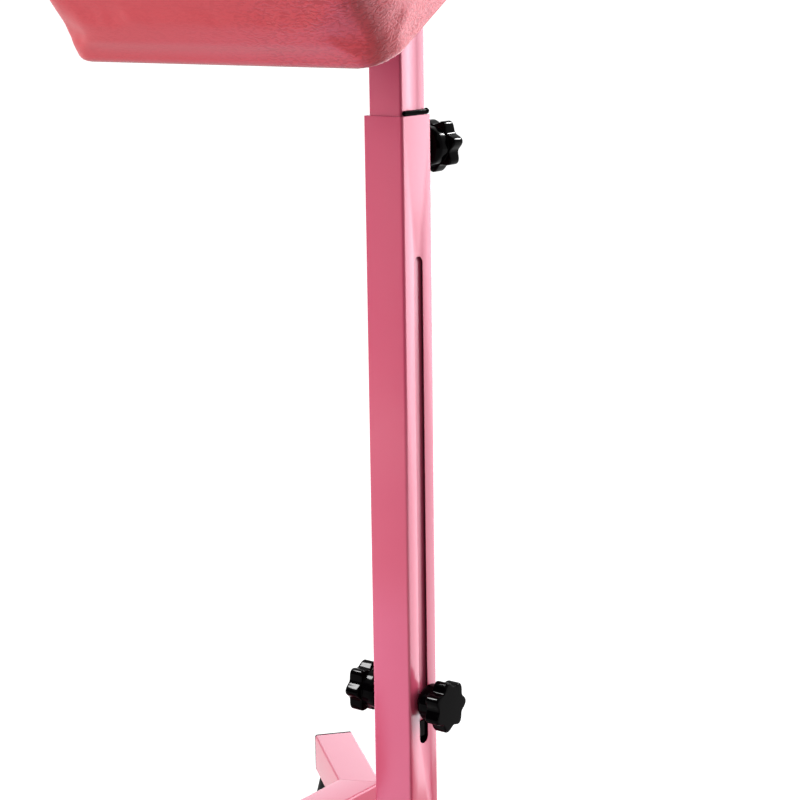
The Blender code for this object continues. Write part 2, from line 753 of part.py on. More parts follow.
def build_upper_clamp(mats):
    """Clamp screw on the back of the post: soft tip, stud and the knob moulded on it."""
    axis = empty("upper_clamp_axis", (0, 0, CLAMP_HEIGHT))
    back = Vector((0, 1, 0))
    tip_start = INNER_SIDE / 2 + SEAT
    tip_end = POST_SIDE / 2 - SEAT
    tip = turned([
        (TIP_RADIUS - TIP_GROOVE, tip_start),
        (TIP_RADIUS, tip_start + TIP_GROOVE),
        (TIP_RADIUS, tip_end),
    ])
    place("clamp_tip", tip, mats["white_nylon"], axis, matrix=along(back))
    hub = POST_SIDE / 2 + CLAMP_STANDOFF
    stud = turned([
        (THREAD_RADIUS - THREAD_CHAMFER, POST_SIDE / 2),
        (THREAD_RADIUS, POST_SIDE / 2 + THREAD_CHAMFER),
        (THREAD_RADIUS, hub + KNOB_SOCKET_DEPTH - THREAD_CHAMFER - SEAT),
        (THREAD_RADIUS - THREAD_CHAMFER, hub + KNOB_SOCKET_DEPTH - SEAT),
    ])
    place("clamp_stud", stud, mats["zinc_steel"], axis, matrix=along(back))
    place("upper_knob", knob_mesh(THREAD_RADIUS + SEAT), mats["black_plastic"], axis,
          matrix=along(back, back * hub, UPPER_KNOB_TURN))


# Tilt bracket, in the pad's own frame with its origin on the tilt axis

def screw_spots():
    """Name and place of each of the four pad screws."""
    return [(f"{end}_{side}", sx * SCREW_HALF_X, sy * SCREW_HALF_Y) for end, side, sx, sy in corner_signs()]


def build_tilt_bracket(mats, head):
    """Plate under the pad with two ears down to the tilt axis, square-holed on the left."""
    outline = rounded_rectangle(PLATE_WIDTH, PLATE_DEPTH, PLATE_CORNER, TUBE_STEPS)
    plate = skin([ring(outline, EAR_DROP), ring(outline, EAR_DROP + PLATE_THICKNESS)])
    bracket = place("tilt_bracket", plate, mats["pink_paint"], head)
    arc_steps = ROUND_STEPS // 2
    tilt_of_tangent = math.atan2(EAR_ROOT_HALF - EAR_TIP_RADIUS, EAR_DROP)
    profile = [(EAR_ROOT_HALF, EAR_DROP + PLATE_THICKNESS / 2), (EAR_ROOT_HALF, EAR_DROP)]
    for step in range(arc_steps + 1):
        angle = tilt_of_tangent * -1 - (math.pi - 2 * tilt_of_tangent) * step / arc_steps
        profile.append((EAR_TIP_RADIUS * math.cos(angle), EAR_TIP_RADIUS * math.sin(angle)))
    profile += [(-EAR_ROOT_HALF, EAR_DROP), (-EAR_ROOT_HALF, EAR_DROP + PLATE_THICKNESS / 2)]
    for side, sx in (("left", -1), ("right", 1)):
        ear = skin([
            [Vector((sx * face, y, z)) for y, z in profile]
            for face in (EAR_INNER, EAR_OUTER)
        ])
        fuse(bracket, tool(side + "_ear", ear, head))
    neck = skin([
        [Vector((face, y, z)) for y, z in rounded_rectangle(
            2 * (BOLT_NECK_HALF + SEAT), 2 * (BOLT_NECK_HALF + SEAT), BOLT_NECK_CORNER, SMALL_EDGE_STEPS)]
        for face in (-EAR_OUTER - CUT, -EAR_INNER + CUT)
    ])
    cut(bracket, tool("square_hole", neck, head))
    bore = peg(BORE_RADIUS, EAR_INNER - CUT, EAR_OUTER + CUT)
    cut(bracket, tool("ear_bore", bore, head, along((1, 0, 0))))
    for name, x, y in screw_spots():
        hole = peg(SCREW_RADIUS + SCREW_CLEARANCE, EAR_DROP - CUT, EAR_DROP + PLATE_THICKNESS + CUT)
        cut(bracket, tool(f"{name}_plate_hole", hole, head, Matrix.Translation((x, y, 0))))


def build_friction_discs(mats, head):
    """Nylon discs between the sliding tube and the ears."""
    near = INNER_SIDE / 2 + SEAT
    far = near + FRICTION_DISC_THICKNESS
    for side, sx in (("left", -1), ("right", 1)):
        disc = turned([
            (BORE_RADIUS, near),
            (FRICTION_DISC_RADIUS, near),
            (FRICTION_DISC_RADIUS, far),
            (BORE_RADIUS, far),
        ], wrap=True)
        place(side + "_friction_disc", disc, mats["white_nylon"], head, matrix=along((sx, 0, 0)))


def build_tilt_bolt(mats, head):
    """Carriage bolt on the tilt axis: domed head, square neck in the left ear, thread to the knob."""
    head_base = -EAR_OUTER - SEAT
    tip = EAR_OUTER + SEAT + WASHER_THICKNESS + SEAT + KNOB_SOCKET_DEPTH - THREAD_END_GAP
    bolt = turned([
        (BOLT_HEAD_RADIUS * BOLT_CROWN_SHARE, head_base - BOLT_HEAD_HEIGHT),
        (BOLT_HEAD_RADIUS * BOLT_SHOULDER_SHARE, head_base - BOLT_HEAD_HEIGHT * BOLT_SHOULDER_RISE_SHARE),
        (BOLT_HEAD_RADIUS, head_base - BOLT_HEAD_HEIGHT * BOLT_RIM_SHARE),
        (BOLT_HEAD_RADIUS, head_base),
        (THREAD_RADIUS, head_base),
        (THREAD_RADIUS, tip - THREAD_CHAMFER),
        (THREAD_RADIUS - THREAD_CHAMFER, tip),
    ])
    body = place("tilt_bolt", bolt, mats["zinc_steel"], head, matrix=along((1, 0, 0)))
    neck = skin([
        [Vector((face, y, z)) for y, z in rounded_rectangle(
            2 * BOLT_NECK_HALF, 2 * BOLT_NECK_HALF, BOLT_NECK_CORNER, SMALL_EDGE_STEPS)]
        for face in (head_base - SEAT, -EAR_INNER)
    ])
    fuse(body, tool("bolt_neck", neck, head))


# Pad, in the same frame

def build_pad_screws(mats, head):
    """Four screws up through the plate, and the four tee nuts that they pull against."""
    face = EAR_DROP - SEAT
    screw_profile = [
        (SCREW_HEAD_TOP_RADIUS, face - SCREW_HEAD_HEIGHT),
        (SCREW_HEAD_RADIUS, face - SCREW_HEAD_HEIGHT / 2),
        (SCREW_HEAD_RADIUS, face),
        (SCREW_RADIUS, face),
        (SCREW_RADIUS, face + SCREW_LENGTH - THREAD_CHAMFER),
        (SCREW_RADIUS - THREAD_CHAMFER, face + SCREW_LENGTH),
    ]
    bore = SCREW_RADIUS + SCREW_CLEARANCE
    barrel = bore + TNUT_WALL
    nut_profile = [
        (bore, BOARD_TOP - TNUT_LENGTH),
        (barrel, BOARD_TOP - TNUT_LENGTH),
        (barrel, BOARD_TOP - TNUT_FLANGE),
        (TNUT_FLANGE_RADIUS, BOARD_TOP - TNUT_FLANGE),
        (TNUT_FLANGE_RADIUS, BOARD_TOP),
        (bore, BOARD_TOP),
    ]
    for name, x, y in screw_spots():
        place(name + "_pad_screw", turned(screw_profile, SCREW_STEPS), mats["zinc_steel"], head, (x, y, 0))
        place(name + "_tee_nut", turned(nut_profile, SCREW_STEPS, wrap=True), mats["zinc_steel"], head,
              (x, y, 0))


def build_dust_cloth(mats, head):
    """Thin cloth stapled over the board's underside."""
    outline = rounded_rectangle(BOARD_WIDTH, BOARD_DEPTH, PAD_CORNER - COVER_MARGIN, TUBE_STEPS)
    bm = skin([ring(outline, PAD_FLOOR), ring(outline, PAD_FLOOR + CLOTH_THICKNESS)])
    cloth = place("dust_cloth", bm, mats["black_cloth"], head)
    for name, x, y in screw_spots():
        hole = peg(SCREW_RADIUS + SCREW_CLEARANCE, PAD_FLOOR - CUT, PAD_FLOOR + CLOTH_THICKNESS + CUT)
        cut(cloth, tool(f"{name}_cloth_hole", hole, head, Matrix.Translation((x, y, 0))))


def build_board(mats, head):
    """Plywood board inside the pad, counterbored above for the tee nuts."""
    outline = rounded_rectangle(BOARD_WIDTH, BOARD_DEPTH, PAD_CORNER - COVER_MARGIN, TUBE_STEPS)
    board = place("pad_board", skin([ring(outline, BOARD_FLOOR), ring(outline, BOARD_TOP)]),
                  mats["plywood"], head)
    barrel = SCREW_RADIUS + SCREW_CLEARANCE + TNUT_WALL + SEAT
    for name, x, y in screw_spots():
        hole = turned([
            (barrel, BOARD_FLOOR - CUT),
            (barrel, BOARD_TOP - TNUT_FLANGE - SEAT),
            (TNUT_FLANGE_RADIUS + SEAT, BOARD_TOP - TNUT_FLANGE - SEAT),
            (TNUT_FLANGE_RADIUS + SEAT, BOARD_TOP + CUT),
        ], SCREW_STEPS)
        cut(board, tool(f"{name}_board_hole", hole, head, Matrix.Translation((x, y, 0))))


def pad_outline(inset):
    """Plan of the pad drawn in by an inset, with points along its sides for the crown."""
    width = PAD_WIDTH - 2 * inset
    depth = PAD_DEPTH - 2 * inset
    corner = max(PAD_CORNER - inset, PAD_LEAST_CORNER)
    arcs = rounded_rectangle(width, depth, corner, PAD_STEPS)
    side_count = PAD_STEPS + 1
    points = []
    for i, (x, y) in enumerate(arcs):
        points.append((x, y))
        if (i + 1) % side_count == 0:
            next_x, next_y = arcs[(i + 1) % len(arcs)]
            for step in range(1, side_count):
                share = step / side_count
                points.append((x + (next_x - x) * share, y + (next_y - y) * share))
    return points


def crown_rise(x, y):
    """Height of the crown over the brow at a place in plan."""
    across = 1.0 - abs(x / (PAD_WIDTH / 2 - CROWN_INSET)) ** CROWN_POWER_ACROSS
    down = 1.0 - abs(y / (PAD_DEPTH / 2 - CROWN_INSET)) ** CROWN_POWER_ALONG
    return PAD_CROWN * math.sqrt(max(across, 0.0) * max(down, 0.0))


def build_cushion(mats, head):
    """Foam and cover: crowned top, sides leaning out, and a recess below that takes the board."""
    rings = [
        ring(pad_outline(COVER_MARGIN), BOARD_TOP + SEAT),
        ring(pad_outline(COVER_MARGIN), PAD_FLOOR),
    ]
    for step in range(FOOT_ROUND_STEPS + 1):
        swing = math.radians(90 * step / FOOT_ROUND_STEPS)
        inset = PAD_FOOT_ROUND * (1 - math.sin(swing))
        rings.append(ring(pad_outline(inset), PAD_FLOOR + PAD_FOOT_ROUND * (1 - math.cos(swing))))
    waist = PAD_SIDE - PAD_BROW_HEIGHT - PAD_FOOT_ROUND
    for share in WAIST_SHARES:
        rings.append(ring(pad_outline(-PAD_FLARE * share), PAD_FLOOR + PAD_FOOT_ROUND + waist * share))
    for step in range(1, BROW_STEPS + 1):
        swing = math.radians(90 * step / BROW_STEPS)
        inset = PAD_BROW * (1 - math.cos(swing)) - PAD_FLARE
        drop = PAD_BROW_HEIGHT * (1 - math.sin(swing))
        rings.append(ring(pad_outline(inset), PAD_FLOOR + PAD_SIDE - drop))
    reach = PAD_WIDTH / 2 - CROWN_INSET
    for share in CROWN_SHARES:
        outline = pad_outline(CROWN_INSET + reach * share)
        top = PAD_FLOOR + PAD_SIDE
        rings.append([Vector((x, y, top + crown_rise(x, y))) for x, y in outline])
    place("pad_cushion", skin(rings), mats["pink_leather"], head, smooth=CUSHION_SMOOTH_ANGLE)


# Whole stand

def build():
    """Clear the scene and build every sub-part."""
    for obj in list(bpy.data.objects):
        bpy.data.objects.remove(obj, do_unlink=True)
    mats = make_materials()
    build_rails(mats)
    build_stubs(mats)
    build_centre_bar(mats)
    build_end_plugs(mats)
    build_feet(mats)
    build_outer_post(mats)
    build_weld_nut(mats)
    build_liners(mats)
    build_upper_clamp(mats)
    carriage = empty("height_carriage", (0, 0, ROD_HEIGHT))
    build_inner_tube(mats, carriage)
    build_inner_cap(mats, carriage)
    build_guide_block(mats, carriage)
    build_cross_rod(mats, carriage)
    build_pivot_sleeve(mats, carriage)
    build_socket_knob(mats, "right", carriage, (1, 0, 0), POST_SIDE / 2, RIGHT_KNOB_TURN)
    build_socket_knob(mats, "left", carriage, (-1, 0, 0), POST_SIDE / 2, LEFT_KNOB_TURN)
    head = empty("pad_head", (0, 0, PIVOT_HEIGHT - ROD_HEIGHT), carriage, PAD_TILT)
    build_tilt_bracket(mats, head)
    build_friction_discs(mats, head)
    build_tilt_bolt(mats, head)
    build_socket_knob(mats, "tilt", head, (1, 0, 0), EAR_OUTER, TILT_KNOB_TURN)
    build_pad_screws(mats, head)
    build_dust_cloth(mats, head)
    build_board(mats, head)
    build_cushion(mats, head)
    bpy.context.view_layer.update()


build()
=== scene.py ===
"""Armrest stand: a tilting upholstered pad on a telescopic square post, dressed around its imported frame.

Lengths are in metres. The origin is on the post's axis at floor level, +Z is up, -Y is the side the pad
leans down to, and the slots of the post face -X and +X.
"""

import json
import logging
import math
from contextlib import contextmanager
from dataclasses import dataclass, replace
from enum import Enum
from typing import Any, Callable, Iterator, Sequence

import bmesh
import bpy
from mathutils import Matrix, Vector, noise

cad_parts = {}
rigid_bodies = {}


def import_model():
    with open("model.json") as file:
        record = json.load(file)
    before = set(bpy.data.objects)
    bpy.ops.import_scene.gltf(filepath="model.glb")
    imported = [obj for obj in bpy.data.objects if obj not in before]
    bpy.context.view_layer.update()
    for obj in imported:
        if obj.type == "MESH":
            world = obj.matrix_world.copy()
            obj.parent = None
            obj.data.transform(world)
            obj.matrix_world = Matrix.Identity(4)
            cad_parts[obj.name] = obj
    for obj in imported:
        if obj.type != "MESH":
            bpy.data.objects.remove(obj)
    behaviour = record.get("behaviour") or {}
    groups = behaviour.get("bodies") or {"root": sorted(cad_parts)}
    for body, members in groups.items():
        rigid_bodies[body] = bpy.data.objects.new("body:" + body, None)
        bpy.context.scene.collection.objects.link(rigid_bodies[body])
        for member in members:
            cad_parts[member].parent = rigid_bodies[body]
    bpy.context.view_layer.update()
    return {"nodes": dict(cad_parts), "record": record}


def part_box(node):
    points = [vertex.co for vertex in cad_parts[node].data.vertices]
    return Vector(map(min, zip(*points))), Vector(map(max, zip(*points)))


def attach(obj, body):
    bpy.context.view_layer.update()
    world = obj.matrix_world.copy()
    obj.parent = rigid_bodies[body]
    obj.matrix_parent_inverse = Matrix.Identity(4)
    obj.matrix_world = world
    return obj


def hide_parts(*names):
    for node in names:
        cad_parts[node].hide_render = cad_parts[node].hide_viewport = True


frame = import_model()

LOG = logging.getLogger("armrest_stand")

MM = 0.001
SEAT = 0.3 * MM                 # gap that seated pieces keep
RUNOUT = 2.0 * MM               # how far a cutter runs past the face it opens
WASHER = 1.2 * MM               # thickness of the washers behind the knobs
BOLT, BORE = 3.9 * MM, 4.2 * MM             # radius of an M8 thread over its crests, and of its hole
ROD_HEIGHT = 177.0 * MM         # cross rod at rest
CLAMP_HEIGHT = 532.5 * MM       # upper clamp screw
PIVOT_HEIGHT = 662.9 * MM       # tilt axis at rest
PAD_TILT = math.radians(32.1)   # tilt of the pad at rest
EAR_INSIDE, EAR_FACE = 14.1 * MM, 17.1 * MM     # both faces of a bracket ear, from the post's axis
X_AXIS, Y_AXIS, Z_AXIS = Vector((1, 0, 0)), Vector((0, 1, 0)), Vector((0, 0, 1))
MIDDLE = Vector((0, 0, 0.42))   # middle of the stand, which the lamps face
PAD_FRAME = Matrix.Translation((0, 0, PIVOT_HEIGHT)) @ Matrix.Rotation(PAD_TILT, 4, 'X')

Point = tuple[float, float]
Source = bpy.types.Node | bpy.types.NodeSocket


@dataclass(frozen=True)
class TubeSection:
    """Section of a square tube: outside width, wall and outside corner radius."""
    side: float
    wall: float
    corner: float


OUTER_TUBE = TubeSection(30.0 * MM, 1.2 * MM, 2.0 * MM)
INNER_TUBE = TubeSection(25.0 * MM, 1.2 * MM, 1.8 * MM)


# Bench: small modelling steps that every class uses

def focus(*objects: bpy.types.Object) -> None:
    """Select objects alone and make the first one active.

    Args:
        objects: the objects.
    """
    bpy.ops.object.select_all(action='DESELECT')
    for obj in objects:
        obj.select_set(True)
    bpy.context.view_layer.objects.active = objects[0]


@contextmanager
def editing(obj: bpy.types.Object, mode: str = 'FACE', selected: bool = False) -> Iterator[None]:
    """Edit mode on one object.

    Args:
        obj: mesh object to edit.
        mode: VERT, EDGE or FACE selection.
        selected: start with everything selected, not with nothing.
    """
    focus(obj)
    bpy.ops.object.mode_set(mode='EDIT')
    bpy.ops.mesh.select_mode(type=mode)
    bpy.ops.mesh.select_all(action='SELECT' if selected else 'DESELECT')
    try:
        yield
    finally:
        bpy.ops.object.mode_set(mode='OBJECT')


def pick(obj: bpy.types.Object, kind: str, test: Callable[[Any], bool]) -> None:
    """Select what passes a test on the mesh in edit mode.

    Args:
        obj: object in edit mode.
        kind: verts, edges or faces.
        test: says of an element whether it is wanted.
    """
    bpy.ops.mesh.select_all(action='DESELECT')
    mesh = bmesh.from_edit_mesh(obj.data)
    for element in getattr(mesh, kind):
        if test(element):
            element.select_set(True)
    mesh.select_flush_mode()
    bmesh.update_edit_mesh(obj.data)


def bevel_uprights(obj: bpy.types.Object, radius: float, segments: int) -> None:
    """Round the upright edges of the shape in edit mode."""
    pick(obj, "edges", lambda edge: abs(edge.verts[0].co.z - edge.verts[1].co.z) > MM)
    bpy.ops.mesh.bevel(offset=radius, segments=segments, affect='EDGES')


def step_out(rise: float, share: float = 1.0) -> None:
    """Extrude the selected faces along Z and scale them in plan."""
    bpy.ops.mesh.extrude_region_move(TRANSFORM_OT_translate={"value": (0, 0, rise)})
    bpy.ops.transform.resize(value=(share, share, 1))


def named(name: str) -> bpy.types.Object:
    """Give the object just added its name.

    Args:
        name: name of the object and its mesh.

    Returns:
        The object.
    """
    obj = bpy.context.object
    obj.name = name
    obj.data.name = name
    return obj


def settle(obj: bpy.types.Object) -> None:
    """Write an object's place into its mesh."""
    focus(obj)
    bpy.ops.object.transform_apply(location=True, rotation=True, scale=True)


def move(obj: bpy.types.Object, matrix: Matrix) -> bpy.types.Object:
    """Move a settled object by a matrix and settle it again.

    Args:
        obj: the object.
        matrix: the move.

    Returns:
        The object.
    """
    obj.matrix_world = matrix
    settle(obj)
    return obj


def block(name: str, low: Sequence[float], high: Sequence[float]) -> bpy.types.Object:
    """Box between two corners.

    Args:
        name: name of the object.
        low: lowest corner.
        high: highest corner.

    Returns:
        The box.
    """
    bpy.ops.mesh.primitive_cube_add(size=1.0)
    obj = named(name)
    obj.location = (Vector(low) + Vector(high)) / 2
    obj.scale = Vector(high) - Vector(low)
    settle(obj)
    return obj


def slab(name: str, half_x: float, half_y: float, low: float, high: float) -> bpy.types.Object:
    """Box round the Z axis, from its half widths and its two heights."""
    return block(name, (-half_x, -half_y, low), (half_x, half_y, high))


def drum(name: str, radius: float, low: float, high: float, sides: int = 32) -> bpy.types.Object:
    """Cylinder along Z.

    Args:
        name: name of the object.
        radius: its radius.
        low: height of its lower end.
        high: height of its upper end.
        sides: sides of the circle.

    Returns:
        The cylinder.
    """
    bpy.ops.mesh.primitive_cylinder_add(vertices=sides, radius=radius, depth=high - low,
                                        location=(0, 0, (low + high) / 2))
    obj = named(name)
    settle(obj)
    return obj


def modify(obj: bpy.types.Object, kind: str, **settings: Any) -> None:
    """Add a modifier and apply it.

    Args:
        obj: the object.
        kind: the modifier's type.
        settings: the modifier's own properties.
    """
    focus(obj)
    modifier = obj.modifiers.new(kind.lower(), kind)
    for key, value in settings.items():
        setattr(modifier, key, value)
    bpy.ops.object.modifier_apply(modifier=modifier.name)


def discard(*objects: bpy.types.Object) -> None:
    """Delete objects."""
    for obj in objects:
        bpy.data.objects.remove(obj, do_unlink=True)


def carve(obj: bpy.types.Object, *cutters: bpy.types.Object, operation: str = 'DIFFERENCE') -> None:
    """Take shapes out of an object, or add them, and delete them.

    Args:
        obj: the object.
        cutters: the shapes.
        operation: DIFFERENCE or UNION.
    """
    for cutter in cutters:
        modify(obj, 'BOOLEAN', operation=operation, solver='EXACT', object=cutter)
        discard(cutter)


def round_edges(obj: bpy.types.Object, width: float, segments: int = 2, angle: float = 32.0) -> None:
    """Round every edge sharper than an angle."""
    modify(obj, 'BEVEL', width=width, segments=segments, limit_method='ANGLE',
           angle_limit=math.radians(angle), use_clamp_overlap=True)


def shade(obj: bpy.types.Object, angle: float = 32.0) -> None:
    """Smooth shading across edges flatter than an angle."""
    focus(obj)
    bpy.ops.object.shade_smooth_by_angle(angle=math.radians(angle))


def twin(source: bpy.types.Object, name: str, matrix: Matrix) -> bpy.types.Object:
    """Copy a finished piece, mesh and all, to another place.

    Args:
        source: the piece.
        name: name of the copy.
        matrix: the move from the piece to its copy.

    Returns:
        The copy.
    """
    obj = source.copy()
    obj.data = source.data.copy()
    obj.name = name
    obj.data.name = name
    bpy.context.collection.objects.link(obj)
    return move(obj, matrix)


def join(name: str, pieces: Sequence[bpy.types.Object]) -> bpy.types.Object:
    """Join pieces into one object.

    Args:
        name: name of the object.
        pieces: the pieces.

    Returns:
        The object.
    """
    focus(*pieces)
    bpy.ops.object.join()
    return named(name)


def repair_normals(obj: bpy.types.Object) -> None:
    """Merge doubles and point every face outwards."""
    with editing(obj, 'VERT', selected=True):
        bpy.ops.mesh.remove_doubles(threshold=0.002 * MM)
        bpy.ops.mesh.normals_make_consistent(inside=False)


def along(direction: Sequence[float], origin: Sequence[float] = (0, 0, 0), turn: float = 0.0) -> Matrix:
    """Matrix that lays a shape's Z axis along a direction.

    Args:
        direction: the direction.
        origin: where the shape's origin comes.
        turn: turn about the direction, in degrees.

    Returns:
        The matrix.
    """
    lean = Vector(direction).to_track_quat('Z', 'Y').to_matrix().to_4x4()
    return Matrix.Translation(Vector(origin)) @ lean @ Matrix.Rotation(math.radians(turn), 4, 'Z')


def plan(origin: Sequence[float], heading: float) -> Matrix:
    """Matrix of a level tube: Z along a heading in plan, X to its right, Y up.

    Args:
        origin: where the tube's origin comes.
        heading: bearing from +X, in degrees.

    Returns:
        The matrix.
    """
    angle = math.radians(heading)
    run = Vector((math.cos(angle), math.sin(angle), 0.0))
    right = Vector((math.sin(angle), -math.cos(angle), 0.0))
    turned = Matrix((right, Z_AXIS, run)).transposed().to_4x4()
    return Matrix.Translation(Vector(origin)) @ turned


def unit(value: float) -> float:
    """Value held between 0 and 1."""
    return max(0.0, min(1.0, value))


def trace(name: str, path: Sequence[Point]) -> bpy.types.Object:
    """Chain of edges in the plane of X and Z, extruded from point to point.

    Args:
        name: name of the object.
        path: its (radius, height) points.

    Returns:
        The chain.
    """
    bpy.ops.mesh.primitive_plane_add(size=MM)
    obj = named(name)
    with editing(obj, 'VERT', selected=True):
        bpy.ops.mesh.merge(type='CENTER')
        bpy.ops.mesh.select_all(action='SELECT')
        bpy.ops.transform.translate(value=(path[0][0], 0, path[0][1]))
        for (r0, z0), (r1, z1) in zip(path, path[1:]):
            bpy.ops.mesh.extrude_region_move(TRANSFORM_OT_translate={"value": (r1 - r0, 0, z1 - z0)})
    return obj


def spun(name: str, profile: Sequence[Point], steps: int = 48, hollow: bool = False) -> bpy.types.Object:
    """Solid of revolution about Z.

    Args:
        name: name of the object.
        profile: (radius, height) points from one end of the section to the other.
        steps: sides of the circle.
        hollow: the section closes on itself round a bore, and doesn't reach the axis.

    Returns:
        The closed solid.
    """
    obj = trace(name, list(profile) + ([profile[0]] if hollow else []))
    with editing(obj, 'VERT', selected=True):
        bpy.ops.mesh.spin(steps=steps, angle=2 * math.pi, center=(0, 0, 0), axis=(0, 0, 1))
    repair_normals(obj)
    return obj


def arc(centre: Point, radius: float, start: float, end: float, steps: int) -> list[Point]:
    """Points of an arc in a section, from one angle to another in degrees."""
    turns = [math.radians(start + (end - start) * step / steps) for step in range(steps + 1)]
    return [(centre[0] + radius * math.cos(t), centre[1] + radius * math.sin(t)) for t in turns]


def bead(name: str, points: Sequence[Vector], radius: float, closed: bool = False) -> bpy.types.Object:
    """Weld bead along a path, swollen once every ripple.

    Args:
        name: name of the object.
        points: corners of the path.
        radius: mean radius of the bead.
        closed: the path returns to its start.

    Returns:
        The bead as a mesh.
    """
    ripple, step = 2.0 * MM, 0.5 * MM
    corners = list(points) + ([points[0]] if closed else [])
    places = []
    for a, b in zip(corners, corners[1:]):
        count = max(1, round((b - a).length / step))
        places += [a.lerp(b, i / count) for i in range(count)]
    if not closed:
        places.append(corners[-1])
    curve = bpy.data.curves.new(name, 'CURVE')
    curve.dimensions = '3D'
    curve.bevel_depth = radius
    curve.bevel_resolution = 2
    curve.use_fill_caps = True
    spline = curve.splines.new('POLY')
    spline.points.add(len(places) - 1)
    spline.use_cyclic_u = closed
    for i, (point, place) in enumerate(zip(spline.points, places)):
        swell = abs(math.sin(math.pi * i * step / ripple))
        point.co = (*place, 1.0)
        point.radius = 0.82 + 0.30 * swell + 0.06 * noise.noise(place / (3 * MM))
    obj = bpy.data.objects.new(name, curve)
    bpy.context.collection.objects.link(obj)
    focus(obj)
    bpy.ops.object.convert(target='MESH')
    obj = bpy.context.object
    repair_normals(obj)
    shade(obj, 60)
    return obj


# Finishes

class Finish(Enum):
    """Material slots of the record."""
    PAINT = "pink_paint"
    LEATHER = "pink_leather"
    PLASTIC = "black_plastic"
    RUBBER = "black_rubber"
    ZINC = "zinc_steel"
    BRASS = "brass"
    NYLON = "white_nylon"
    PLYWOOD = "plywood"
    CLOTH = "black_cloth"


def linear(code: str) -> tuple[float, float, float, float]:
    """Linear colour of a hexadecimal sRGB code.

    Args:
        code: six hexadecimal digits.

    Returns:
        Red, green, blue and alpha.
    """
    parts = [int(code[i:i + 2], 16) / 255 for i in (0, 2, 4)]
    red, green, blue = (c / 12.92 if c <= 0.04045 else ((c + 0.055) / 1.055) ** 2.4 for c in parts)
    return red, green, blue, 1.0


def output(source: Source) -> bpy.types.NodeSocket:
    """The socket itself, or a node's first output in use."""
    found = source.outputs if isinstance(source, bpy.types.Node) else [source]
    return next(socket for socket in found if socket.enabled)


def add_node(tree: bpy.types.NodeTree, kind: str, inputs: dict | None = None,
             **settings: Any) -> bpy.types.Node:
    """Add a node with its settings and links.

    Args:
        tree: node tree to add to.
        kind: the node's type, without ShaderNode.
        inputs: input name or number to its value, or to the node or output that feeds it.
        settings: the node's own properties.

    Returns:
        The node.
    """
    node = tree.nodes.new("ShaderNode" + kind)
    for key, value in settings.items():
        setattr(node, key, value)
    for key, value in (inputs or {}).items():
        if isinstance(value, Source):
            tree.links.new(output(value), node.inputs[key])
        else:
            node.inputs[key].default_value = value
    return node


@dataclass(frozen=True)
class Coat:
    """A material in the making: its tree, its shader and the Object coordinates of its patterns."""
    material: bpy.types.Material
    tree: bpy.types.NodeTree
    shader: bpy.types.Node
    place: bpy.types.NodeSocket

    def add(self, kind: str, inputs: dict | None = None, **settings: Any) -> bpy.types.Node:
        """Add a node to the material's tree."""
        return add_node(self.tree, kind, inputs, **settings)

    def feed(self, name: str, source: Source) -> None:
        """Let a node feed one of the shader's inputs."""
        self.tree.links.new(output(source), self.shader.inputs[name])

    def colour(self, share: Source, first: "str | Source", second: str) -> None:
        """Mix the surface's colour.

        Args:
            share: share of the second colour, from 0 to 1.
            first: code of the first colour, or what gives it.
            second: code of the second colour.
        """
        ground = linear(first) if isinstance(first, str) else first
        self.feed("Base Color", self.add("Mix", {0: share, 6: ground, 7: linear(second)}, data_type='RGBA'))

    def relief(self, height: Source, depth: float) -> None:
        """Raise the surface by a height pattern of a real depth."""
        self.feed("Normal", self.add("Bump", {"Height": height, "Distance": depth}))


@dataclass(frozen=True)
class Surface:
    """Principled surface that the finishes start from."""
    label: str
    hue: str
    roughness: float
    metallic: float = 0.0
    ior: float = 1.5
    specular: float = 0.5

    def start(self) -> Coat:
        """Make the material.

        Returns:
            The material in the making.
        """
        material = bpy.data.materials.new(self.label)
        material.use_nodes = True
        material.diffuse_color = linear(self.hue)
        tree = material.node_tree
        shader = tree.nodes["Principled BSDF"]
        values = {"Base Color": linear(self.hue), "Roughness": self.roughness, "Metallic": self.metallic}
        if not self.metallic:
            values |= {"IOR": self.ior, "Specular IOR Level": self.specular}
        for name, value in values.items():
            shader.inputs[name].default_value = value
        return Coat(material, tree, shader, add_node(tree, "TexCoord").outputs["Object"])

    def mottle(self, coat: Coat, second: str, size: float) -> None:
        """Blend a second colour in with soft patches.

        Args:
            coat: the material in the making.
            second: code of the other colour.
            size: size of a patch.
        """
        patches = coat.add("TexNoise", {"Vector": coat.place, "Scale": 1 / size, "Detail": 3.0})
        share = coat.add("MapRange", {"Value": patches, "From Min": 0.35, "From Max": 0.65})
        coat.colour(share, self.hue, second)

    def polish(self, coat: Coat, pattern: Source, spread: float) -> None:
        """Vary the roughness a little with a pattern."""
        low, high = self.roughness - spread, self.roughness + spread
        coat.feed("Roughness", coat.add("MapRange", {"Value": pattern, "To Min": low, "To Max": high}))


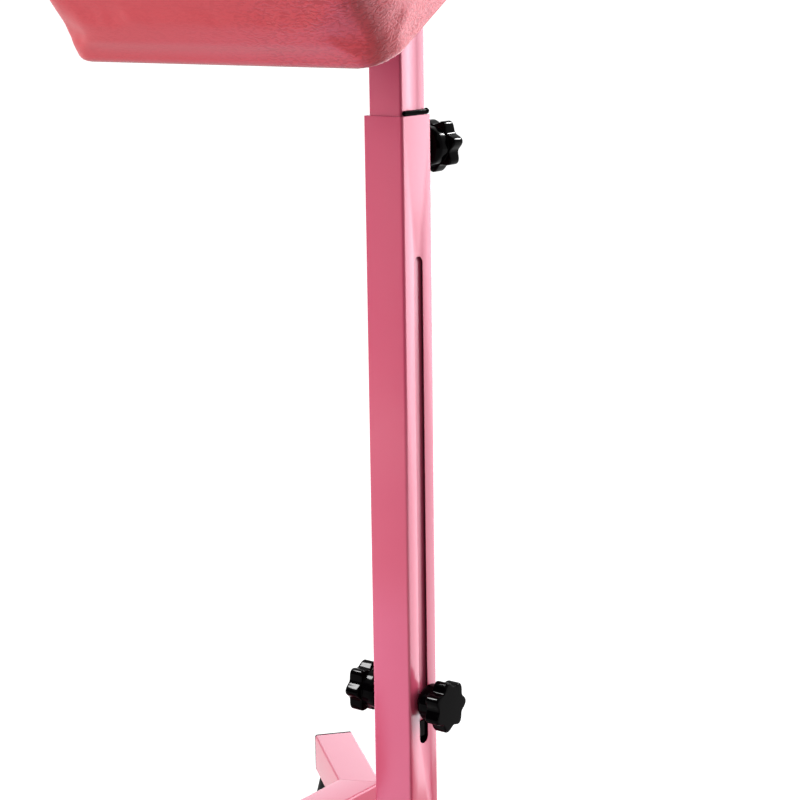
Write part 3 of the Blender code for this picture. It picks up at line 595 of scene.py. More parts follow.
@dataclass(frozen=True)
class StovedEnamel(Surface):
    """Glossy stoved enamel on steel tube: smooth, with a faint orange peel that stirs its reflections.

    On an upright tube the bore and the cut edges of its wall get painted shade: a near-black red for the
    shadow that lies there.
    """
    shade: str = "d75473"
    peel: float = 1.6 * MM              # the real peel's wavelength
    patch: float = 90 * MM
    tube: TubeSection | None = None
    skin: float = 0.35 * MM             # depth below the outer face past which the painted shade of the bore starts
    # colour of the painted shade in the bore and on the cut edges of the wall
    bore_shade: str = "1c0a0d"

    def make(self) -> bpy.types.Material:
        """Build the material.

        Returns:
            The material.
        """
        coat = self.start()
        self.mottle(coat, self.shade, self.patch)
        if self.tube:
            self.paint_bore_shade(coat)
        peel = coat.add("TexNoise", {"Vector": coat.place, "Scale": 1 / self.peel, "Detail": 1.0})
        coat.relief(peel, 0.012 * MM)
        self.polish(coat, peel, 0.03)
        return coat.material

    def paint_bore_shade(self, coat: Coat) -> None:
        """Paint shade on what lies deeper than the skin of the tube, a rounded square: the bore and the cut
        edges of its wall.

        Args:
            coat: the material in the making, with its paint.
        """
        paint = coat.shader.inputs["Base Color"].links[0].from_socket
        middle, zero = self.tube.side / 2 - self.tube.corner, (0.0, 0.0, 0.0)
        reach = coat.place
        for operation, other in (('MULTIPLY', (1.0, 1.0, 0.0)), ('ABSOLUTE', zero),
                                 ('SUBTRACT', (middle, middle, 0.0)), ('MAXIMUM', zero), ('LENGTH', zero)):
            reach = coat.add("VectorMath", {0: reach, 1: other}, operation=operation)
        inside = coat.add("Math", {0: reach, 1: self.tube.corner - self.skin}, operation='LESS_THAN')
        # painted shade: a near-black red over the bore and the cut edges of the wall, where shadow falls
        coat.colour(inside, paint, self.bore_shade)


@dataclass(frozen=True)
class Leatherette(Surface):
    """Embossed vinyl upholstery: fine wavy creases along the pad, deeper where it is drawn round a corner,
    with painted shade in their hollows.
    """
    # colour of the painted shade in the hollows of the creases
    crease_shade: str = "ab2430"
    grain: float = 1.0 * MM             # from crease to crease, across the pad
    stretch: float = 3.5                # length of a crease against its width
    waver: float = 3.0                  # sideways wander of a crease, in grains
    depth: float = 0.14 * MM
    corner: Point = (0.0, 0.0)
    calm: float = 120 * MM              # distance from a corner at which the creases have calmed down

    def make(self) -> bpy.types.Material:
        """Build the material.

        Returns:
            The material.
        """
        coat = self.start()
        level = coat.add("VectorMath", {0: coat.place, 1: (0, 0, PIVOT_HEIGHT)}, operation='SUBTRACT')
        pad = coat.add("Mapping", {"Vector": level, "Rotation": (-PAD_TILT, 0.0, 0.0)})
        warp = coat.add("TexNoise", {"Vector": pad, "Scale": 1 / (self.grain * 4), "Detail": 1.0})
        shift = coat.add("VectorMath", {0: warp.outputs["Color"], 1: (0.5,) * 3}, operation='SUBTRACT')
        shift = coat.add("VectorMath", {0: shift, 1: (self.waver * self.grain,) * 3}, operation='MULTIPLY')
        drawn = coat.add("VectorMath", {0: pad, 1: shift}, operation='ADD')
        drawn = coat.add("VectorMath", {0: drawn, 1: (1 / self.stretch, 0.5, 1.0)}, operation='MULTIPLY')
        waves = coat.add("TexNoise", {"Vector": drawn, "Scale": 1 / self.grain, "Detail": 0.6,
                                      "Distortion": 0.3})
        domes = coat.add("MapRange", {"Value": waves, "From Min": 0.36, "From Max": 0.6},
                         interpolation_type='SMOOTHSTEP')
        depth = self.tautness(coat, pad)
        height = coat.add("Math", {0: domes, 1: depth}, operation='MULTIPLY')
        # painted shade: the hollows between the domes darken towards the crease colour, more where the
        # creases are deep
        lowness = coat.add("Math", {0: 1.0, 1: domes}, operation='SUBTRACT')
        crease_shade_share = coat.add("Math", {0: lowness, 1: depth}, operation='MULTIPLY')
        coat.colour(crease_shade_share, self.hue, self.crease_shade)
        coat.relief(height, self.depth)
        return coat.material

    def tautness(self, coat: Coat, pad: Source) -> bpy.types.Node:
        """How deep the creases are, and how dark the painted shade in them: full near the right-hand corners,
        faint and patchy away from them.

        Args:
            coat: the material in the making.
            pad: places in the pad's own frame.

        Returns:
            The share of their full depth.
        """
        parts = coat.add("SeparateXYZ", {0: pad})
        folded = coat.add("Math", {0: parts.outputs["Y"]}, operation='ABSOLUTE')
        flat = coat.add("CombineXYZ", {"X": parts.outputs["X"], "Y": folded})
        away = coat.add("VectorMath", {0: flat, 1: (*self.corner, 0.0)}, operation='DISTANCE')
        near = coat.add("MapRange", {"Value": away, "From Max": self.calm, "To Min": 1.0, "To Max": 0.16},
                        interpolation_type='SMOOTHSTEP')
        patches = coat.add("TexNoise", {"Vector": pad, "Scale": 1 / (30 * MM), "Detail": 1.0})
        share = coat.add("MapRange", {"Value": patches, "From Min": 0.35, "From Max": 0.65, "To Min": 0.6,
                                      "To Max": 1.1})
        return coat.add("Math", {0: near, 1: share}, operation='MULTIPLY')


@dataclass(frozen=True)
class MouldedPlastic(Surface):
    """Injection-moulded plastic or rubber: one colour through, with a faint surface waviness."""
    grain: float = 2.5 * MM
    depth: float = 0.006 * MM

    def make(self) -> bpy.types.Material:
        """Build the material.

        Returns:
            The material.
        """
        coat = self.start()
        grain = coat.add("TexNoise", {"Vector": coat.place, "Scale": 1 / self.grain, "Detail": 3.0})
        coat.relief(grain, self.depth)
        self.polish(coat, grain, 0.04)
        return coat.material


@dataclass(frozen=True)
class PlatedMetal(Surface):
    """Plated or turned metal: cloudy plating with fine machining marks that break up its shine."""
    cloud: str = "9c9fa4"
    mark: float = 0.5 * MM              # real marks are finer: drawn coarser, so that they show

    def make(self) -> bpy.types.Material:
        """Build the material.

        Returns:
            The material.
        """
        coat = self.start()
        self.mottle(coat, self.cloud, 4 * MM)
        marks = coat.add("TexNoise", {"Vector": coat.place, "Scale": 1 / self.mark, "Detail": 2.0})
        coat.relief(marks, 0.01 * MM)
        self.polish(coat, marks, 0.08)
        return coat.material


@dataclass(frozen=True)
class BirchPlywood(Surface):
    """Birch plywood: pale veneers with darker glue lines seen at the edge."""
    glue: str = "8a6238"
    veneer: float = 1.7 * MM

    def make(self) -> bpy.types.Material:
        """Build the material.

        Returns:
            The material.
        """
        coat = self.start()
        layers = coat.add("TexWave", {"Vector": coat.place, "Scale": 0.3 / self.veneer, "Distortion": 1.5},
                          bands_direction='Z').outputs["Fac"]
        coat.colour(layers, self.glue, self.hue)
        coat.relief(layers, 0.05 * MM)
        return coat.material


@dataclass(frozen=True)
class BondedCloth(Surface):
    """Spun-bonded dust cloth: dull black felted fibres with a small dot pattern from the bonding rollers."""
    fibre: str = "3a383a"
    dot: float = 1.8 * MM               # real dots are finer: drawn coarser, so that they show

    def make(self) -> bpy.types.Material:
        """Build the material.

        Returns:
            The material.
        """
        coat = self.start()
        self.mottle(coat, self.fibre, 1.2 * MM)
        dots = coat.add("TexVoronoi", {"Vector": coat.place, "Scale": 1 / self.dot, "Randomness": 0.2})
        coat.relief(dots, 0.15 * MM)
        return coat.material


class FinishLibrary:
    """Every finish of the stand, made once."""

    def __init__(self, corner: Point) -> None:
        """Make the materials.

        Args:
            corner: place of the pad's corner in plan.
        """
        enamel = StovedEnamel("stoved_enamel_pink", "da5976", 0.22)
        surfaces = {
            Finish.PAINT: enamel,
            Finish.LEATHER: Leatherette("leatherette_pink", "cb3c46", 0.38, corner=corner),
            Finish.PLASTIC: MouldedPlastic("phenolic_black", "030203", 0.12, specular=0.03),
            Finish.RUBBER: MouldedPlastic("rubber_black", "0b090a", 0.62, specular=0.15, depth=0.02 * MM),
            Finish.ZINC: PlatedMetal("zinc_plate", "bfc2c6", 0.28, 1.0),
            Finish.BRASS: PlatedMetal("turned_brass", "c9a34e", 0.26, 1.0, cloud="ad8636"),
            Finish.NYLON: MouldedPlastic("nylon_natural", "e6e2d8", 0.42),
            Finish.PLYWOOD: BirchPlywood("birch_plywood", "d2ad78", 0.66),
            Finish.CLOTH: BondedCloth("bonded_cloth_black", "1c1b1c", 0.92),
            # enamel of the two upright tubes, with painted shade in the bore and on the cut edges of the
            # slots and holes
            "outer_post": replace(enamel, label="stoved_enamel_outer_post", tube=OUTER_TUBE),
            "inner_tube": replace(enamel, label="stoved_enamel_inner_tube", tube=INNER_TUBE),
        }
        self.materials = {finish: surface.make() for finish, surface in surfaces.items()}

    def dress(self, obj: bpy.types.Object, finish: Finish | str) -> None:
        """Give an object one finish all over.

        Args:
            obj: the object.
            finish: its finish, or the node that has a finish of its own.
        """
        if not obj.material_slots:
            obj.data.materials.append(None)
        for place in obj.material_slots:
            place.material = self.materials[finish]

    def dress_frame(self) -> None:
        """Give every CAD node the finish that its record slot names."""
        for entry in frame["record"]["subparts"]:
            self.dress(frame["nodes"][entry["node"]], Finish(entry["material_slot"]))


@dataclass
class Workshop:
    """What every sub-assembly shares: the finishes and the way a piece is fitted."""
    finishes: FinishLibrary

    def fit(self, obj: bpy.types.Object, finish: Finish, body: str, *nodes: str) -> None:
        """Dress a finished piece, hang it on its body and let it stand for CAD nodes.

        Args:
            obj: the finished piece, at its place.
            finish: its finish.
            body: the body that carries it.
            nodes: CAD nodes that it stands for.
        """
        obj.data.materials.clear()
        own = nodes[0] if nodes and nodes[0] in self.finishes.materials else finish
        self.finishes.dress(obj, own)
        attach(obj, body)
        if nodes:
            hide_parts(*nodes)
        LOG.info("%s rides on %s", obj.name, body)


def square_tube(name: str, tube: TubeSection, low: float, high: float, low_slope: float = 0.0,
                high_slope: float = 0.0) -> bpy.types.Object:
    """Open square tube along Z with rounded corners, its ends cut at a slope across X.

    Args:
        name: name of the object.
        tube: its section.
        low: height of the lower end on the axis.
        high: height of the upper end on the axis.
        low_slope: rise of the lower end for each metre of X.
        high_slope: rise of the upper end for each metre of X.

    Returns:
        The tube.
    """
    obj = slab(name, tube.side / 2, tube.side / 2, low, high)
    with editing(obj):
        pick(obj, "faces", lambda face: abs(face.normal.z) > 0.5)
        bpy.ops.mesh.delete(type='FACE')
        bevel_uprights(obj, tube.corner, 6)
    modify(obj, 'SOLIDIFY', thickness=tube.wall, offset=-1.0, use_even_offset=True)
    for vertex in obj.data.vertices:
        slope = low_slope if vertex.co.z < (low + high) / 2 else high_slope
        vertex.co.z += slope * vertex.co.x
    return obj


def stadium_cutter(name: str, width: float, low: float, high: float, reach: float) -> bpy.types.Object:
    """Round-ended slot cutter along X.

    Args:
        name: name of the object.
        width: width of the slot.
        low: height of its lower end.
        high: height of its upper end.
        reach: how far it reaches to each side.

    Returns:
        The cutter.
    """
    radius, sides = width / 2, 48
    obj = drum(name, radius, -reach, reach, sides)
    move(obj, along(X_AXIS, (0, 0, low + radius), 180 / sides))
    with editing(obj, 'VERT'):
        pick(obj, "verts", lambda vert: vert.co.z > low + radius)
        bpy.ops.transform.translate(value=(0, 0, high - low - width))
    return obj


@dataclass
class Base:
    """Welded H-shaped base: two rails, a centre bar, four splayed stubs, plugs and rubber feet."""
    shop: Workshop
    tube: TubeSection = OUTER_TUBE
    rail_reach: float = 131.5 * MM
    rail_half: float = 116.0 * MM
    stub_length: float = 98.0 * MM
    stub_angle: float = 40.0
    foot_height: float = 16.0 * MM
    foot_inset: float = 15.2 * MM
    bead_radius: float = 1.5 * MM

    def __post_init__(self) -> None:
        """Work out the tubes' half width, the height of their axes and the slope of a mitre."""
        self.half = self.tube.side / 2
        self.axis = self.foot_height + self.half
        self.slope = math.tan(math.radians((90.0 - self.stub_angle) / 2))

    @staticmethod
    def corners() -> list[tuple[str, int, int]]:
        """Name and signs of the four corners."""
        return [(f"{end}_{side}", sx, sy) for side, sx in (("left", -1), ("right", 1))
                for end, sy in (("front", -1), ("rear", 1))]

    def run(self, sx: int, sy: int) -> Vector:
        """Level direction of a stub."""
        lean = math.radians(self.stub_angle)
        return Vector((sx * math.cos(lean), sy * math.sin(lean), 0.0))

    def heading(self, sx: int, sy: int) -> float:
        """Bearing of a stub, in degrees."""
        run = self.run(sx, sy)
        return math.degrees(math.atan2(run.y, run.x))

    def mitre(self, sx: int, sy: int, height: float) -> Vector:
        """Centre of a mitre at a height."""
        return Vector((sx * self.rail_reach, sy * self.rail_half, height))

    def lay(self, node: str, origin: Sequence[float], heading: float, low: float, high: float,
            *slopes: float) -> None:
        """Build one level tube.

        Args:
            node: CAD node that it stands for.
            origin: a point on its axis.
            heading: bearing of its axis, in degrees.
            low: its start, from that point.
            high: its end, from that point.
            slopes: slopes of its ends.
        """
        tube = square_tube(node + "_tube", self.tube, low, high, *slopes)
        move(tube, plan(origin, heading))
        shade(tube)
        self.shop.fit(tube, Finish.PAINT, "base", node)

    def build_tubes(self) -> None:
        """Rails, stubs and centre bar."""
        half = self.rail_half - SEAT / 2
        for name, sx in (("left", -1), ("right", 1)):
            slope = -sx * self.slope
            self.lay(name + "_rail", (sx * self.rail_reach, 0, self.axis), 90.0, -half, half, -slope, slope)
        for name, sx, sy in self.corners():
            self.lay(name + "_stub", self.mitre(sx, sy, self.axis), self.heading(sx, sy), SEAT / 2,
                     self.stub_length, sx * sy * self.slope)
        half = self.rail_reach - self.half - SEAT
        self.lay("centre_bar", (0, 0, self.axis), 0.0, -half, half)

    def build_welds(self) -> None:
        """Weld beads where the bar meets the rails and where the post stands on the bar."""
        half, near = self.half, self.half - self.tube.corner
        seams = []
        for sx in (-1, 1):
            for dy, dz in ((1, 0), (-1, 0), (0, 1), (0, -1)):
                middle = Vector((sx * (self.rail_reach - half - SEAT), dy * half, self.axis + dz * half))
                seams.append(("bar_bead", middle, Vector((0, dz * near, dy * near)), 1.0))
        for sx, sy, share in ((-1, 0, 1.0), (1, 0, 1.0), (0, -1, 0.6), (0, 1, 0.6)):
            middle = Vector((sx * half, sy * half, self.axis + half + SEAT / 2))
            seams.append(("foot_bead", middle, Vector((abs(sy) * near, abs(sx) * near, 0)), share))
        beads = [bead(name, [middle - reach, middle + reach], self.bead_radius * share)
                 for name, middle, reach, share in seams]
        self.shop.fit(join("base_weld_beads", beads), Finish.PAINT, "base")

    def plug(self) -> bpy.types.Object:
        """End plug along Z: a rounded square flange over a hollow barbed body.

        Returns:
            The plug.
        """
        flange, grip, depth, barb = 2.0 * MM, 13.2 * MM, 12.0 * MM, 0.955
        cap = slab("end_plug", self.half, self.half, SEAT, SEAT + flange)
        with editing(cap):
            bevel_uprights(cap, self.tube.corner, 5)
            pick(cap, "faces", lambda face: face.normal.z > 0.9)
            step_out(0.35 * MM, 0.95)
            step_out(0.25 * MM, 0.4)
            pick(cap, "faces", lambda face: face.normal.z < -0.9)
            step_out(0.0, grip / self.half)
            for _ in range(3):
                step_out(MM - depth / 3, barb)
                step_out(-MM, 1 / barb)
            step_out(0.0, 0.88)
            step_out(depth - MM)
        round_edges(cap, 0.3 * MM)
        shade(cap)
        return cap

    def foot(self) -> bpy.types.Object:
        """Tapered rubber foot with a screw well and a groove round its sole.

        Returns:
            The foot.
        """
        top, low, high = self.foot_height - SEAT, 17.5 * MM, 14.9 * MM
        hole, well, groove = 2.7 * MM, 6.2 * MM, 10.6 * MM
        foot = spun("rubber_foot", [
            (hole, 9 * MM), (well, 9 * MM), (well, 0.0), (groove, 0.0), (groove + 0.3 * MM, 0.5 * MM),
            (groove + 1.5 * MM, 0.5 * MM), (groove + 1.8 * MM, 0.0), (low - 1.2 * MM, 0.0), (low, 1.2 * MM),
            (low, 3.0 * MM), (high, top - 1.6 * MM), (high - 0.5 * MM, top - 0.5 * MM),
            (high - 1.6 * MM, top), (hole, top)], 56, hollow=True)
        round_edges(foot, 0.35 * MM, 2, 25)
        shade(foot, 40)
        return foot

    def build(self) -> None:
        """Build the whole base."""
        self.build_tubes()
        self.build_welds()
        plug, foot = self.plug(), self.foot()
        for name, sx, sy in self.corners():
            tip = self.mitre(sx, sy, self.axis) + self.run(sx, sy) * self.stub_length
            spot = self.mitre(sx, sy, 0.0) + self.run(sx, sy) * (self.stub_length - self.foot_inset)
            end = twin(plug, name + "_plug", plan(tip, self.heading(sx, sy)))
            self.shop.fit(end, Finish.PLASTIC, "base", name + "_end_plug")
            sole = twin(foot, name + "_rubber_foot", Matrix.Translation(spot))
            self.shop.fit(sole, Finish.RUBBER, "base", name + "_foot")
        discard(plug, foot)


@dataclass
class OuterPost:
    """Slotted outer tube with its weld nut and the two guides over its rim."""
    shop: Workshop
    tube: TubeSection = OUTER_TUBE
    slot_width: float = 9.0 * MM
    travel_up: float = 286.0 * MM
    travel_down: float = 25.0 * MM
    boss_radius: float = 7.0 * MM
    boss_length: float = 8.5 * MM
    guide_depth: float = 38.0 * MM
    guide_half: float = 10.0 * MM
    lip_half: float = 12.4 * MM

    def __post_init__(self) -> None:
        """Read the post's ends from its CAD node."""
        low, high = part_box("outer_post")
        self.foot, self.rim = low[2], high[2]

    def build_tube(self) -> None:
        """Outer tube with both slots and the clamp bore."""
        tube = square_tube("outer_post_tube", self.tube, self.foot, self.rim)
        low = ROD_HEIGHT - self.travel_down - self.slot_width / 2
        high = ROD_HEIGHT + self.travel_up + self.slot_width / 2
        slot = stadium_cutter("slot", self.slot_width, low, high, self.tube.side)
        bore = move(drum("bore", BORE, 0, self.tube.side), along(Y_AXIS, (0, 0, CLAMP_HEIGHT)))
        carve(tube, slot, bore)
        round_edges(tube, 0.3 * MM, 2, 40)
        shade(tube, 40)
        self.shop.fit(tube, Finish.PAINT, "base", "outer_post")

    def build_weld_nut(self) -> None:
        """Round threaded boss on the back of the post, with its weld."""
        start = self.tube.side / 2 + SEAT
        end, radius = start + self.boss_length, self.boss_radius
        nut = spun("clamp_boss", [(BORE, start), (radius, start), (radius, end - 0.8 * MM),
                                  (radius - 0.8 * MM, end), (BORE + 0.7 * MM, end), (BORE, end - 0.7 * MM)],
                   hollow=True)
        move(nut, along(Y_AXIS, (0, 0, CLAMP_HEIGHT)))
        shade(nut)
        self.shop.fit(nut, Finish.PAINT, "base", "clamp_weld_nut")
        circle = [Vector((radius * math.cos(t), start, CLAMP_HEIGHT + radius * math.sin(t)))
                  for t in (2 * math.pi * i / 24 for i in range(24))]
        weld = bead("boss_weld_bead", circle, 1.1 * MM, closed=True)
        self.shop.fit(weld, Finish.PAINT, "base")

    def build_guides(self) -> None:
        """Plastic strips in the post's mouth, the right one with a lip over the rim that ends in a ball."""
        inside, wall_face, outside = 12.8 * MM, 13.5 * MM, self.tube.side / 2 + 0.4 * MM
        half, lip, depth = self.guide_half, self.lip_half, self.guide_depth
        left = block("left_guide", (-wall_face, -half, -depth), (-inside, half, -0.8 * MM))
        right = block("right_guide", (inside, -lip, SEAT), (outside, lip, SEAT + 3 * MM))
        round_edges(right, 1.2 * MM, 5)
        leg = block("leg", (inside, -half, -depth), (wall_face, half, SEAT + 1.5 * MM))
        bpy.ops.mesh.primitive_uv_sphere_add(segments=24, ring_count=16, radius=1.9 * MM,
                                             location=((inside + outside) / 2, 11.2 * MM, SEAT + 1.7 * MM))
        ball = named("lip_end")
        settle(ball)
        carve(right, leg, ball, operation='UNION')
        for guide, name in ((left, "left"), (right, "right")):
            move(guide, Matrix.Translation((0, 0, self.rim)))
            shade(guide, 40)
            self.shop.fit(guide, Finish.PLASTIC, "base", name + "_guide_liner")

    def build(self) -> None:
        """Build the whole post."""
        self.build_tube()
        self.build_weld_nut()
        self.build_guides()


@dataclass
class InnerPost:
    """Sliding tube with its cap."""
    shop: Workshop
    tube: TubeSection = INNER_TUBE
    cap_height: float = 1.8 * MM
    cap_depth: float = 4.2 * MM

    def build(self) -> None:
        """Build the sliding tube and its cap."""
        side = self.tube.side
        low, high = (corner[2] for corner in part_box("inner_tube"))
        tube = square_tube("sliding_tube", self.tube, low, high)
        for height in (ROD_HEIGHT, PIVOT_HEIGHT):
            carve(tube, move(drum("hole", BORE, -side, side), along(X_AXIS, (0, 0, height))))
        round_edges(tube, 0.25 * MM, 2, 40)
        shade(tube, 40)
        self.shop.fit(tube, Finish.PAINT, "inner_post", "inner_tube")
        cap = slab("sliding_tube_cap", side / 2, side / 2, high + SEAT, high + SEAT + self.cap_height)
        with editing(cap):
            bevel_uprights(cap, self.tube.corner, 5)
            pick(cap, "faces", lambda face: face.normal.z < -0.9)
            bpy.ops.mesh.inset(thickness=1.5 * MM)
            step_out(-self.cap_depth)
        round_edges(cap, 0.5 * MM, 3)
        shade(cap)
        self.shop.fit(cap, Finish.PLASTIC, "inner_post", "inner_tube_cap")


@dataclass
class StarKnobs:
    """Seven-lobed moulded knobs on the clamp screw, on both ends of the cross rod and on the tilt bolt."""
    shop: Workshop
    lobes: int = 7
    lobe_radius: float = 17.0 * MM
    valley_radius: float = 13.3 * MM
    hub_radius: float = 12.4 * MM
    hub_length: float = 10.2 * MM
    hub_round: float = 4.8 * MM
    neck_round: float = 0.6 * MM
    edge_round: float = 1.5 * MM
    height: float = 20.4 * MM
    socket: float = 12.4 * MM
    insert_bore: float = 5.8 * MM
    standoff: float = 11.8 * MM         # from the post's back to the upper knob

    def pattern(self, bore: float) -> bpy.types.Object:
        """Knob along Z, hub first: spun to its section, then pressed in between its lobes.

        Args:
            bore: radius of the socket in the hub.

        Returns:
            The knob.
        """
        hub, neck, edge, lobe = self.hub_round, self.neck_round, self.edge_round, self.lobe_radius
        profile = [(0.0, self.socket), (bore, self.socket), (bore, 0.0)]
        profile += arc((self.hub_radius - hub, hub), hub, -90, 0, 6)
        profile += [(self.hub_radius, self.hub_length - neck)]
        profile += arc((self.hub_radius + neck, self.hub_length - neck), neck, 180, 90, 3)[1:]
        profile += [(14 * MM, self.hub_length)]
        profile += arc((lobe - edge, self.hub_length + edge), edge, -90, 0, 5)
        profile += arc((lobe - edge, self.height - edge), edge, 0, 90, 5)
        profile += [(12.6 * MM, self.height), (6 * MM, self.height + 0.1 * MM)]
        profile += [(0.0, self.height + 0.12 * MM)]
        knob = spun("star_knob", profile, self.lobes * 18)
        press = (lobe - self.valley_radius) / (lobe - self.hub_radius)
        for vertex in knob.data.vertices:
            radius = math.hypot(vertex.co.x, vertex.co.y)
            if radius > self.hub_radius:
                swing = (1 - math.cos(self.lobes * math.atan2(vertex.co.y, vertex.co.x))) / 2
                factor = 1 - (radius - self.hub_radius) * press * swing / radius
                vertex.co.x *= factor
                vertex.co.y *= factor
        shade(knob, 40)
        return knob

    def stud(self, low: float, high: float) -> bpy.types.Object:
        """M8 stud along Z, its thread run out by a screw modifier and trimmed flat at both ends.

        Args:
            low: height of its lower end.
            high: height of its upper end.

        Returns:
            The stud.
        """
        crest, root, pitch = BOLT, 3.3 * MM, 1.25 * MM
        turn = ((root, 0.0), (root, 0.16), (crest, 0.5), (crest, 0.66), (root, 1.0))
        stud = trace("threaded_stud", [(radius, low + (rise - 1.0) * pitch) for radius, rise in turn])
        modify(stud, 'SCREW', axis='Z', steps=28, render_steps=28, screw_offset=pitch,
               iterations=math.ceil((high - low) / pitch) + 2, use_merge_vertices=True,
               merge_threshold=0.001 * MM)
        repair_normals(stud)
        with editing(stud, 'VERT'):
            for height, normal in ((low, -1), (high, 1)):
                bpy.ops.mesh.select_all(action='SELECT')
                bpy.ops.mesh.bisect(plane_co=(0, 0, height), plane_no=(0, 0, normal), use_fill=True,
                                    clear_outer=True)
        repair_normals(stud)
        shade(stud, 40)
        return stud

    def build(self) -> None:
        """Build the four knobs and the threaded stud."""
        socketed, blind = self.pattern(self.insert_bore), self.pattern(BORE)
        half, stack = OUTER_TUBE.side / 2, SEAT + WASHER + SEAT
        back = half + self.standoff
        places = (
            ("upper", blind, along(Y_AXIS, (0, back, CLAMP_HEIGHT), 15.0)),
            ("right", socketed, along(X_AXIS, (half + stack, 0, ROD_HEIGHT), 49.0)),
            ("left", socketed, along(-X_AXIS, (-half - stack, 0, ROD_HEIGHT), 1.0)),
            ("tilt", socketed, PAD_FRAME @ along(X_AXIS, (EAR_FACE + stack, 0, 0))),
        )
        for name, pattern, matrix in places:
            knob = twin(pattern, name + "_star_knob", matrix)
            self.shop.fit(knob, Finish.PLASTIC, name + "_clamp_knob", name + "_knob")
        discard(socketed, blind)
        stud = self.stud(half, back + self.socket - SEAT)
        move(stud, along(Y_AXIS, (0, 0, CLAMP_HEIGHT)))
        self.shop.fit(stud, Finish.ZINC, "upper_clamp_knob", "clamp_stud")


